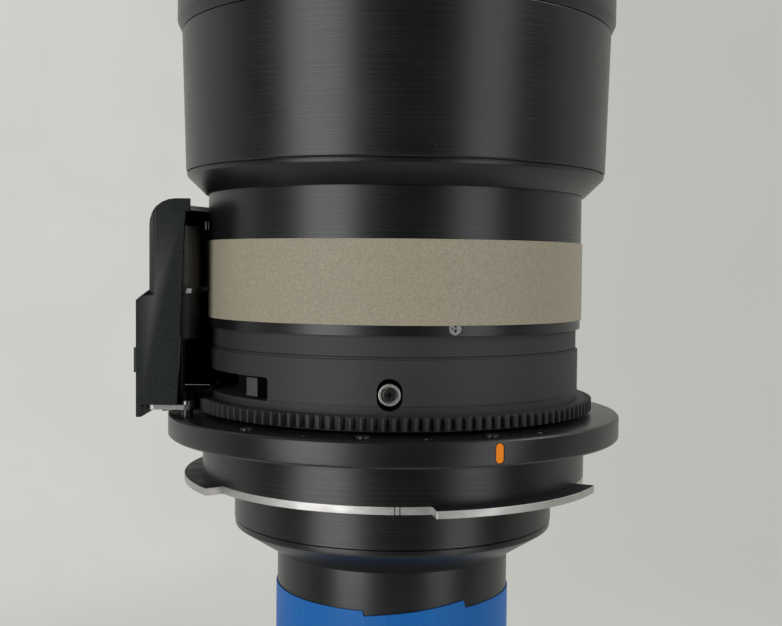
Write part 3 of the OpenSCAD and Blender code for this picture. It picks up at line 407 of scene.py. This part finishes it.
def carve(piece, cutter, operation="DIFFERENCE"):
    """Cuts a shape out of a piece, or joins it on, and keeps only the result."""
    mesh = bpy.data.meshes.new("cutter")
    bmesh.ops.recalc_face_normals(cutter, faces=cutter.faces)
    cutter.to_mesh(mesh)
    cutter.free()
    blade = bpy.data.objects.new("cutter", mesh)
    bpy.context.scene.collection.objects.link(blade)
    cut = piece.modifiers.new("cut", "BOOLEAN")
    cut.solver = "EXACT"
    cut.operation = operation
    cut.object = blade
    bpy.context.view_layer.update()
    whole = piece.evaluated_get(bpy.context.evaluated_depsgraph_get())
    shaped = bpy.data.meshes.new_from_object(whole)
    piece.modifiers.clear()
    piece.data = shaped
    bpy.data.objects.remove(blade)
    shade(shaped)


def dress(finish, *names):
    """Gives CAD pieces whose shape is right their finish."""
    for name in names:
        for slot in nodes[name].material_slots:
            slot.material = finish.material


FLANGE_R = 60.9
FLANGE_T = 6.2
FLANGE_BORE_R = 51.82
RIM_EDGE = 0.5
RIM_SCREW_R = 57.25
RIM_GROUP = 45
HOLE_DEPTH = 3.5
MARK_ANGLE = 23.2


def rim_angles(first):
    """Angles of the rim's screws or holes, in one group at the front and one at the back."""
    turned = [first + 30 * i for i in range(12)]
    limit = math.cos(math.radians(RIM_GROUP))
    return [angle for angle in turned if abs(math.cos(math.radians(angle))) > limit]


flange = piece_of(
    "flange_ring",
    ring_of(
        [
            (FLANGE_BORE_R, 0),
            (FLANGE_R - RIM_EDGE, 0),
            (FLANGE_R, RIM_EDGE),
            (FLANGE_R, FLANGE_T - RIM_EDGE),
            (FLANGE_R - RIM_EDGE, FLANGE_T),
            (FLANGE_BORE_R, FLANGE_T),
        ],
        0.15,
    ),
    black_anodised,
)
holes = bmesh.new()
for angle in rim_angles(8):
    mouth = upward(RIM_SCREW_R, angle, FLANGE_T)
    add_bar(holes, 1.0, 1.0, -HOLE_DEPTH, -0.3, mouth)
    add_bar(holes, 1.0, 1.5, -0.3, 0.2, mouth)
bmesh.ops.remove_doubles(holes, verts=holes.verts, dist=1e-7)
carve(flange, holes)
mark_pocket = bmesh.new()
mark_place = outward(MARK_ANGLE, FLANGE_T / 2)
add_slot(mark_pocket, 2.3, 4.9, FLANGE_R - 0.6, FLANGE_R + 1, mark_place)
carve(flange, mark_pocket)
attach(flange, "mount")
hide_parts("mount_flange")


# Index mark. A round-ended pocket in the flange's rim, filled with orange paint, which has
# sunk a little as it dried and lies in a dark outline.
index_paint = Finish("index_paint", roughness=0.42, specular_ior_level=0.15)
brushed = index_paint.noise(index_paint.place, (0.0004, 0.0004, 0.0018), 3.0)
index_paint.set(
    base_color=index_paint.blend(brushed, (0.95, 0.27, 0.01, 1.0), (0.85, 0.21, 0.006, 1.0))
)
index_paint.relief(brushed, 0.00003)
dress(index_paint, "index_mark")


# Spigot. The turned ring behind the flange, black anodised like it, with the bayonet
# plate's screws in its rear face.
dress(black_anodised, "mount_spigot")


# Bayonet plate. Stainless steel sheet with three lobes that lock behind the projector's
# flange. Its cut edge is bright, and two fine lines mark its middle.
PLATE_LOW = -12.1
PLATE_TOP = -10.2
PLATE_BORE_R = 43.25
PLATE_R = 51.8
PLATE_SCREW_R = 47.5
stainless_plate = Finish("stainless_plate")
rolled = stainless_plate.noise(stainless_plate.place, (0.004, 0.0002, 0.0002), 3.0)
smear = stainless_plate.noise(stainless_plate.place, (0.006, 0.006, 0.003), 4.0)
# The plate's upper face is coloured near black and not metallic.
dark_top_face = stainless_plate.part(stainless_plate.place, "Z") > (PLATE_TOP - 0.04) * MM
steel = stainless_plate.blend(smear, (0.60, 0.59, 0.565, 1.0), (0.45, 0.44, 0.425, 1.0))
stainless_plate.set(
    base_color=stainless_plate.blend(dark_top_face, steel, (0.012, 0.013, 0.015, 1.0)),
    metallic=1 - dark_top_face,
    roughness=stainless_plate.between(smear, 0.3, 0.7, 0.4, 0.54) + rolled * 0.08,
)
stainless_plate.relief(rolled, 0.000008)

LOBE_R = 56.6
LOBE_STARTS = (10, 130, 250)
LOBE_SPAN = 55


def add_sector(shape, inner, outer, low, high, start, end):
    """Adds a piece of a flat ring between two angles."""
    corners = [
        shape.verts.new(at_angle(start) @ Vector((radius * MM, 0, height * MM)))
        for radius, height in ((inner, low), (outer, low), (outer, high), (inner, high))
    ]
    face = shape.faces.new(corners)
    steps = max(8, round((end - start) / 1.5))
    bmesh.ops.spin(
        shape,
        geom=[face, *face.edges, *face.verts],
        cent=(0, 0, 0),
        axis=(0, 0, 1),
        angle=math.radians(end - start),
        steps=steps,
    )
    bmesh.ops.recalc_face_normals(shape, faces=shape.faces)


plate = piece_of(
    "bayonet_ring",
    ring_of(
        [
            (PLATE_BORE_R, PLATE_LOW),
            (PLATE_R, PLATE_LOW),
            (PLATE_R, PLATE_TOP),
            (PLATE_BORE_R, PLATE_TOP),
        ],
        0.1,
    ),
    stainless_plate,
)
for start in LOBE_STARTS:
    lobe = bmesh.new()
    add_sector(lobe, 50.5, LOBE_R, PLATE_LOW, PLATE_TOP, start, start + LOBE_SPAN)
    outer_edges = [
        e
        for e in lobe.edges
        if e.calc_face_angle(0) > 0.4
        and min(v.co.xy.length for v in e.verts) > (LOBE_R - 1) * MM
    ]
    round_off(lobe, outer_edges, 0.18)
    carve(plate, lobe, "UNION")
sinks = bmesh.new()
for turn in range(0, 360, 60):
    seat = upward(PLATE_SCREW_R, turn)
    add_bar(sinks, 2.25, 1.0, PLATE_LOW - 0.05, PLATE_LOW + 1.3, seat)
carve(plate, sinks)


def add_box(shape, size, place):
    """Adds a box of a size in millimetres, centred on a place."""
    bmesh.ops.create_cube(shape, size=MM, matrix=place @ Matrix.Diagonal((*size, 1)))


for line_angle in (0.45, 1.75):
    notch = bmesh.new()
    add_box(notch, (1.2, 0.42, 4), upward(PLATE_R, line_angle, -11))
    carve(plate, notch)
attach(plate, "mount")
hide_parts("bayonet_plate")


# Screws of the mount. Six sunk steel screws hold the bayonet plate from behind, and small
# black screws stand in the flange's upper face, near its rim. Each has a pressed cross
# recess that narrows towards its floor.
def worked(name, first, second, spacing, rough, depth, **sockets):
    """A surface that drifts between two colours, with grain spacing metres across."""
    finish = Finish(name, **sockets)
    cloud = finish.noise(finish.place, (8 * spacing,) * 3, 4.0)
    grain = finish.noise(finish.place, (spacing,) * 3)
    finish.set(
        base_color=finish.blend(cloud, first, second),
        roughness=finish.between(grain, 0.3, 0.7, rough - 0.06, rough + 0.06),
    )
    finish.relief(grain, depth)
    return finish


def cross_screw(head_r, under_r, head_h, shank_r, length, slot_w):
    """The mesh of a cross-head screw, its head's top on z = 0 and its shank below."""
    shape = bmesh.new()
    add_bar(shape, under_r, head_r, -head_h, 0, Matrix(), 36)
    soften(shape, 0.1 * head_r)
    add_bar(shape, shank_r, shank_r, -length, -head_h, Matrix(), 20)
    screw = piece_of("screw", shape, black_anodised)
    for turn in (0, math.pi / 2):
        slot = bmesh.new()
        add_box(slot, (1.5 * head_r, slot_w, 1.9 * head_h), Matrix.Rotation(turn, 4, "Z"))
        for corner in slot.verts:
            if corner.co.z < 0:
                corner.co.xy *= 0.35
        carve(screw, slot)
    mesh = screw.data
    bpy.data.objects.remove(screw)
    return mesh


def screw_set(name, mesh, places, finish):
    """One object with a copy of a screw at each place."""
    shape = bmesh.new()
    for place in places:
        before = len(shape.verts)
        shape.from_mesh(mesh)
        shape.verts.ensure_lookup_table()
        bmesh.ops.transform(shape, matrix=place, verts=shape.verts[before:])
    return piece_of(name, shape, finish)


zinc_screw = worked(
    "zinc_screw",
    (0.25, 0.25, 0.245, 1.0),
    (0.17, 0.17, 0.165, 1.0),
    spacing=0.0003,
    rough=0.32,
    depth=2e-6,
    metallic=1.0,
)
black_screw = worked(
    "black_screw",
    (0.03, 0.03, 0.031, 1.0),
    (0.05, 0.05, 0.05, 1.0),
    spacing=0.0002,
    rough=0.28,
    depth=1e-6,
    metallic=0.6,
)
upside_down = Matrix.Rotation(math.pi, 4, "X")
plate_screws = screw_set(
    "plate_screws",
    cross_screw(head_r=2.1, under_r=1.2, head_h=1.2, shank_r=1.2, length=6.9, slot_w=0.55),
    [upward(PLATE_SCREW_R, turn, PLATE_LOW) @ upside_down for turn in range(0, 360, 60)],
    zinc_screw,
)
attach(plate_screws, "mount")
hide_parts("bayonet_screws")
rim_screws = screw_set(
    "rim_screws",
    cross_screw(head_r=1.6, under_r=1.6, head_h=0.7, shank_r=1.0, length=4.2, slot_w=0.4),
    [upward(RIM_SCREW_R, angle, FLANGE_T + 0.7) for angle in rim_angles(-7)],
    black_screw,
)
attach(rim_screws, "mount")
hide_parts("flange_screws")


# Guide barrel. The fixed inner tube, whose rear end is the pilot, with helical slots for
# the sliding cells. The key and the rear tube are fixed to it.
dress(black_anodised, "guide_barrel", "focus_key", "rear_tube")


# Zoom stop. A block of pale acetal, screwed to the guide barrel in the zoom ring's window.
# Its outer face is coloured pale, and all of it nearer the axis dark.
STOP_FACE_R = 48.3
white_acetal = Finish("white_acetal")
across = white_acetal.node(
    "VectorMath", {"operation": "MULTIPLY"}, {0: white_acetal.place, 1: (1, 1, 0)}
)
distance = white_acetal.node("VectorMath", {"operation": "LENGTH"}, {0: across}, "Value")
moulded = white_acetal.noise(white_acetal.place, (0.0004,) * 3)
white_acetal.set(
    base_color=white_acetal.blend(
        distance > STOP_FACE_R * MM, (0.012, 0.012, 0.012, 1.0), (0.062, 0.064, 0.06, 1.0)
    ),
    roughness=white_acetal.between(moulded, 0.3, 0.7, 0.39, 0.51),
)
white_acetal.relief(moulded, 6e-6)
dress(white_acetal, "zoom_stop")


# Rear cone. Turned aluminium that steps down from the pilot to the rear tube, black
# anodised, pressed into the pilot.
cone = piece_of(
    "cone_ring",
    ring_of(
        [
            (31.52, -31.2),
            (32.1, -31.2),
            (43.0, -24.3),
            (43.0, -22.8),
            (39.18, -22.8),
            (39.18, -17.0),
            (31.52, -17.0),
        ],
        0.2,
    ),
    black_anodised,
)
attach(cone, "mount")
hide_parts("rear_cone")


# Protective tape. Blue crepe tape wound round the rear tube and folded over its end. Its
# top edge is torn in steps where one length laps over the next.
tape_blue = Finish("tape_blue", roughness=0.5, specular_ior_level=0.28)
crepe = tape_blue.noise(tape_blue.place, (0.0007, 0.0007, 0.006), 3.0)
patch = tape_blue.noise(tape_blue.place, (0.012, 0.012, 0.02), 3.0)
tape_blue.set(
    base_color=tape_blue.blend(
        crepe * 0.5 + patch * 0.5, (0.003, 0.10, 0.38, 1.0), (0.008, 0.165, 0.52, 1.0)
    )
)
tape_blue.relief(crepe, 0.00012)
TAPE_TOP = -41.3
TAPE_END = -90.3
TAPE_R = 31.82
TAPE_BORE_R = 31.52
LAP = 0.13
LAP_START = -13.2
LAP_END = 35.5
TORN_EDGE = (
    (-180, -41.6), (-120, -41.0), (-76, -40.8), (-13.5, -41.0), (-13, -42.3), (13, -40.9),
    (35, -39.5), (36, -41.6), (54, -41.4), (110, -41.9), (180, -41.6),
)


def torn(angle):
    """Height of the tape's torn edge at an angle from the front."""
    for (start, low), (end, high) in zip(TORN_EDGE, TORN_EDGE[1:]):
        if start <= angle <= end:
            return low + (high - low) * (angle - start) / (end - start)


tape_shape = ring_of(
    [
        (0, TAPE_END),
        (TAPE_R, TAPE_END),
        (TAPE_R, TAPE_TOP),
        (TAPE_BORE_R, TAPE_TOP),
        (TAPE_BORE_R, TAPE_END + 0.3),
        (0, TAPE_END + 0.3),
    ],
    0.06,
    480,
)
for corner in tape_shape.verts:
    angle = math.degrees(math.atan2(corner.co.x, -corner.co.y))
    if corner.co.z > (TAPE_TOP - 1) * MM:
        corner.co.z += (torn(angle) - TAPE_TOP) * MM
    if LAP_START < angle < LAP_END and corner.co.xy.length > (TAPE_BORE_R + LAP / 2) * MM:
        corner.co.xy *= 1 + LAP / TAPE_R
tape = piece_of("tape_lengths", tape_shape, tape_blue)
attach(tape, "mount")
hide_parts("tape_wrap")


# Zoom ring. A turned aluminium ring with a matt black finish, with a window for the stop
# and straight slots for the rollers of the two sliding cells. It turns on the guide barrel.
GUIDE_BORE_R = 43.85
ZOOM_R = 49.8
ZOOM_TOP = 23.9
TOP_GROOVE = 0.5
FOOT_STEP = 0.25
WINDOW_LOW = 12.4
WINDOW_TOP = 18.1
WINDOW_START = -100
WINDOW_END = -37.5
WINDOW_CORNER = 0.9
FRONT_CELL_ANGLE = -1.2
FRONT_CELL_Z = 15.25
REAR_CELL_ANGLE = 58.8
REAR_SLOT_Z = 37.7
matt_black = satin_black("black_matt", (0.0155, 0.0165, 0.0172, 1.0), 0.6, 0.0003)
zoom_ring = piece_of(
    "zoom_shell",
    ring_of(
        [
            (GUIDE_BORE_R, 6.6),
            (ZOOM_R - FOOT_STEP, 6.6),
            (ZOOM_R - FOOT_STEP, 12.6),
            (ZOOM_R, 12.6),
            (ZOOM_R, ZOOM_TOP - TOP_GROOVE),
            (ZOOM_R - TOP_GROOVE, ZOOM_TOP - TOP_GROOVE),
            (ZOOM_R - TOP_GROOVE, ZOOM_TOP),
            (46.0, ZOOM_TOP),
            (46.0, 49.5),
            (GUIDE_BORE_R, 49.5),
        ],
        0.08,
    ),
    matt_black,
)
openings = bmesh.new()
add_sector(openings, 43.0, 50.5, WINDOW_LOW, WINDOW_TOP, WINDOW_START, WINDOW_END)
window_ends = [
    e
    for e in openings.edges
    if e.calc_face_angle(0) > 1
    and abs(e.verts[0].co.xy.length - e.verts[1].co.xy.length) > MM
]
round_off(openings, window_ends, WINDOW_CORNER, 5)
for turn in range(3):
    front_slot = outward(FRONT_CELL_ANGLE + 120 * turn, FRONT_CELL_Z)
    add_slot(openings, 6.0, 7.7, 43.0, 50.5, front_slot)
    rear_slot = outward(REAR_CELL_ANGLE + 120 * turn, REAR_SLOT_Z)
    add_slot(openings, 5.6, 21.4, 43.0, 47.0, rear_slot)
carve(zoom_ring, openings)
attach(zoom_ring, "zoom_barrel")
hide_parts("zoom_ring")


# Zoom gear. A fine toothed ring, black, pressed on the foot of the zoom ring and driven
# by the zoom pinion. A thin black washer keeps the zoom ring off the focus gear.
def copy_of(name):
    """A merged copy of a CAD piece's mesh, with its flat faces made whole."""
    shape = bmesh.new()
    shape.from_mesh(nodes[name].data)
    bmesh.ops.remove_doubles(shape, verts=shape.verts, dist=1e-6)
    bmesh.ops.dissolve_limit(
        shape, angle_limit=math.radians(0.5), verts=shape.verts, edges=shape.edges
    )
    return shape


gear_shape = copy_of("zoom_gear")
soften(gear_shape, 0.1, 1, 30)
gear = piece_of("zoom_teeth", gear_shape, matt_black)
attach(gear, "zoom_barrel")
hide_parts("zoom_gear")
dress(matt_black, "thrust_washer")


# Sliding cells. Black turned cells hold the compensator and variator glass, and each is
# guided by three rollers, screwed to it through the slots of the barrel and the zoom ring.
ROLLER_TOP = 49.4
roller_metal = worked(
    "roller_metal",
    (0.5, 0.49, 0.46, 1.0),
    (0.38, 0.37, 0.35, 1.0),
    spacing=0.0003,
    rough=0.45,
    depth=4e-6,
    metallic=1.0,
)
matt_inner = satin_black("black_matt_inner", (0.012, 0.0125, 0.013, 1.0), 0.6, 0.0003)
dress(matt_inner, "compensator_cell", "compensator_retaining_ring")
dress(matt_inner, "variator_cell", "variator_retaining_ring")
dress(matt_inner, "rear_spacers", "rear_retaining_ring")
dress(roller_metal, "variator_rollers")
dress(black_screw, "variator_roller_screws")
roller_places = [outward(FRONT_CELL_ANGLE + 120 * i, FRONT_CELL_Z) for i in range(3)]
roller_shape = bmesh.new()
for place in roller_places:
    add_bar(roller_shape, 2.6, 2.6, 41.0, ROLLER_TOP, place, 48)
soften(roller_shape, 0.12, 2)
rollers = piece_of("cam_rollers", roller_shape, roller_metal)
bores = bmesh.new()
for place in roller_places:
    add_bar(bores, 2.0, 2.0, ROLLER_TOP - 1.0, ROLLER_TOP + 0.5, place, 40)
carve(rollers, bores)
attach(rollers, "compensator")
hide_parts("compensator_rollers")
roller_screws = screw_set(
    "cam_roller_screws",
    cross_screw(head_r=1.6, under_r=1.6, head_h=0.95, shank_r=0.9, length=8, slot_w=0.65),
    [place @ Matrix.Translation((0, 0, (ROLLER_TOP - 0.05) * MM)) for place in roller_places],
    black_screw,
)
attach(roller_screws, "compensator")
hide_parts("compensator_roller_screws")


def coated_glass(name, film):
    """Clear optical glass with an anti-reflection coat, and a trace of dust."""
    glass = Finish(
        name,
        base_color=(0.98, 1.0, 0.99, 1.0),
        transmission_weight=1.0,
        ior=1.6,
        thin_film_thickness=film,
        thin_film_ior=1.38,
    )
    dust = glass.specks(0.003, 0.0001)
    haze = glass.noise(glass.place, (0.01,) * 3, 4.0)
    glass.set(roughness=glass.between(haze, 0.4, 0.8, 0.0, 0.03) + dust * 0.4)
    return glass


inner_glass = coated_glass("inner_glass", 130.0)
dress(inner_glass, "compensator_element", "variator_front_element", "variator_rear_element")
dress(inner_glass, "rear_front_element", "rear_middle_element", "rear_end_element")


# Focus sleeve. A turned sleeve with a satin black finish that turns the front group in
# and out, with the focus gear below it.
dress(black_anodised, "focus_sleeve")
dress(matt_black, "focus_gear")


# Accent band. A thin champagne coloured metal ring with a fine blasted surface, shrunk
# round the focus sleeve. Three zinc plated screws hold the sleeve just below it.
BAND_R = 50.67
BAND_BORE_R = 50.32
BAND_LOW = 31.4
BAND_TOP = 51.4
accent_metal = Finish("accent_metal", roughness=0.62, specular_ior_level=0.4)
blasted = accent_metal.noise(accent_metal.place, (0.00038, 0.00038, 0.00038), 2.0)
shading = accent_metal.noise(accent_metal.place, (0.02, 0.02, 0.012), 3.0)
accent_metal.set(
    base_color=accent_metal.blend(
        accent_metal.between(blasted, 0.3, 0.7) * 0.8 + shading * 0.2,
        (0.262, 0.235, 0.172, 1.0),
        (0.385, 0.345, 0.255, 1.0),
    )
)
accent_metal.relief(blasted, 0.00002)
band = piece_of(
    "band_ring",
    ring_of(
        [
            (BAND_BORE_R, BAND_LOW),
            (BAND_R, BAND_LOW),
            (BAND_R, BAND_TOP),
            (BAND_BORE_R, BAND_TOP),
        ],
        0.08,
    ),
    accent_metal,
)
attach(band, "focus_barrel")
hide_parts("accent_band")
sleeve_screws = screw_set(
    "band_screws",
    cross_screw(head_r=1.7, under_r=1.7, head_h=0.5, shank_r=0.9, length=3.8, slot_w=0.85),
    [outward(16.3 + 120 * i, 30.7) @ Matrix.Translation((0, 0, 50.15 * MM)) for i in range(3)],
    zinc_screw,
)
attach(sleeve_screws, "focus_barrel")
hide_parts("sleeve_screws")


# Front barrel, hood and front ring. Turned aluminium, black anodised, screwed together.
# The hood's groove marks the joint, and the front ring holds the big front lens.
SKIRT_BORE_R = 46.3
SKIRT_R = 48.2
SKIRT_TOP = 63.7
LAND_LOW = 54.6
HOOD_LOW = 69.55
HOOD_BORE_R = 53.45
HOOD_R = 57.3
HOOD_TOP = 106.2
PIN_ANGLE = 40
PIN_Z = 41
front_barrel = piece_of(
    "barrel_ring",
    ring_of(
        [
            (SKIRT_BORE_R, 37.0),
            (SKIRT_R, 37.0),
            (SKIRT_R, SKIRT_TOP),
            (50.6, SKIRT_TOP),
            (51.0, SKIRT_TOP),
            (55.85, 68.35),
            (56.05, HOOD_LOW - 0.4),
            (55.55, HOOD_LOW - 0.4),
            (55.55, HOOD_LOW),
            (HOOD_BORE_R - 0.02, HOOD_LOW),
            (HOOD_BORE_R - 0.02, 75.6),
            (GUIDE_BORE_R, 75.6),
            (GUIDE_BORE_R, LAND_LOW),
            (SKIRT_BORE_R, LAND_LOW),
        ],
        0.12,
    ),
    black_anodised,
)
key_and_pins = bmesh.new()
for i in range(3):
    add_bar(key_and_pins, 2, 2, 45, 49, outward(PIN_ANGLE + 120 * i, PIN_Z))
key_way = Matrix.Translation(Vector((-43.8, 0, 63.6)) * MM)
add_box(key_and_pins, (4, 8.6, 18.2), key_way)
carve(front_barrel, key_and_pins)
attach(front_barrel, "front_group")
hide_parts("front_barrel")
hood = piece_of(
    "hood_shell",
    ring_of(
        [
            (HOOD_BORE_R, HOOD_LOW),
            (56.05, HOOD_LOW),
            (56.25, HOOD_LOW + 0.4),
            (HOOD_R, HOOD_TOP),
            (HOOD_BORE_R, HOOD_TOP),
        ],
        0.15,
    ),
    black_anodised,
)
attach(hood, "front_group")
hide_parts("hood")
front_ring = piece_of(
    "front_rim",
    ring_of(
        [
            (HOOD_BORE_R, 106.4),
            (HOOD_R, 106.4),
            (58.5, 108.9),
            (58.5, 123.9),
            (58.0, 124.4),
            (54.8, 124.4),
            (51.7, 112.9),
            (51.7, 112.4),
            (HOOD_BORE_R, 112.4),
        ],
        0.15,
    ),
    black_anodised,
)
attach(front_ring, "front_group")
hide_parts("front_ring")
dress(matt_inner, "front_cell", "front_retaining_ring")
dress(roller_metal, "focus_pins")
front_glass = coated_glass("front_glass", 150.0)
dress(front_glass, "front_element", "second_element", "third_element")


# Drive frame. Bent sheet metal on three black posts, screwed to the flange's upper face.
# It carries the two motors, the board and the cover.
frame_sheet = worked(
    "frame_sheet",
    (0.34, 0.34, 0.335, 1.0),
    (0.22, 0.22, 0.215, 1.0),
    spacing=0.0006,
    rough=0.42,
    depth=5e-6,
    metallic=1.0,
)
dress(frame_sheet, "drive_frame")
dress(black_anodised, "drive_spacers")
dress(zinc_screw, "drive_screws")


# Motors. Two small cans, painted cream, on black plastic gearboxes that hang under
# the frame's shelf. Each turns its ring gear with a small pinion of dull brass.
# The cans' colour is darkened far below cream: painted shade for the shadow they sit in behind
# the cover.
motor_can = worked(
    "motor_can",
    (0.085, 0.078, 0.062, 1.0),
    (0.062, 0.057, 0.046, 1.0),
    spacing=0.0005,
    rough=0.42,
    depth=4e-6,
)
dress(motor_can, "zoom_motor", "focus_motor")
gearbox_plastic = worked(
    "gearbox_plastic",
    (0.013, 0.013, 0.014, 1.0),
    (0.02, 0.02, 0.021, 1.0),
    spacing=0.0003,
    rough=0.5,
    depth=1e-5,
)
dress(gearbox_plastic, "zoom_gearbox", "focus_gearbox")
pinion_brass = worked(
    "pinion_brass",
    (0.055, 0.048, 0.036, 1.0),
    (0.035, 0.031, 0.024, 1.0),
    spacing=0.0003,
    rough=0.45,
    depth=4e-6,
    metallic=1.0,
)
dress(pinion_brass, "zoom_pinion", "focus_pinion")


# Board and socket. A small green circuit board screwed to the frame, with a black plastic
# socket whose pins face outwards through the cover.
circuit_board = worked(
    "circuit_board",
    (0.004, 0.022, 0.01, 1.0),
    (0.007, 0.034, 0.015, 1.0),
    spacing=0.0004,
    rough=0.45,
    depth=4e-6,
)
dress(circuit_board, "drive_board")
socket_plastic = worked(
    "socket_plastic",
    (0.012, 0.013, 0.014, 1.0),
    (0.018, 0.019, 0.02, 1.0),
    spacing=0.0004,
    rough=0.5,
    depth=8e-6,
)
dress(socket_plastic, "drive_connector")
dress(zinc_screw, "board_screws", "connector_pins")


# Drive cover. Moulded black plastic with a fine matt grain, held by two black screws. A
# dark sheet closes its far end: painted shade, where the gap shows only shade.
dress(black_screw, "cover_screws")
cover_plastic = worked(
    "cover_plastic",
    (0.0095, 0.012, 0.0128, 1.0),
    (0.0125, 0.0152, 0.016, 1.0),
    spacing=0.0003,
    rough=0.3,
    depth=7e-7,
    specular_ior_level=0.28,
)
cover_shape = copy_of("drive_cover")
slanted = [
    e
    for e in cover_shape.edges
    if e.is_manifold
    and 0.6 < e.calc_face_angle() < 0.95
    and abs(e.verts[0].co.z - e.verts[1].co.z) > 5 * MM
]
round_off(cover_shape, slanted, 1.3, 5)
soften(cover_shape, 0.3, 2, 30)
cover = piece_of("cover_shell", cover_shape, cover_plastic)
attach(cover, "mount")
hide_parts("drive_cover")
# Painted shade: a dark sheet at the cover's far end that keeps the pale room from showing
# through the gap.
shade_sheet_shape = bmesh.new()
shade_sheet_place = Matrix.Translation(Vector((-57.05, 24.35, 22.7)) * MM)
add_box(shade_sheet_shape, (12.9, 0.6, 26.5), shade_sheet_place)
soften(shade_sheet_shape, 0.15)
shade_sheet_finish = worked(
    "painted_shade_sheet",
    (0.006, 0.006, 0.006, 1.0),
    (0.012, 0.012, 0.012, 1.0),
    spacing=0.0003,
    rough=0.85,
    depth=8e-5,
)
shade_sheet = piece_of("cover_shade_sheet", shade_sheet_shape, shade_sheet_finish)
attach(shade_sheet, "mount")
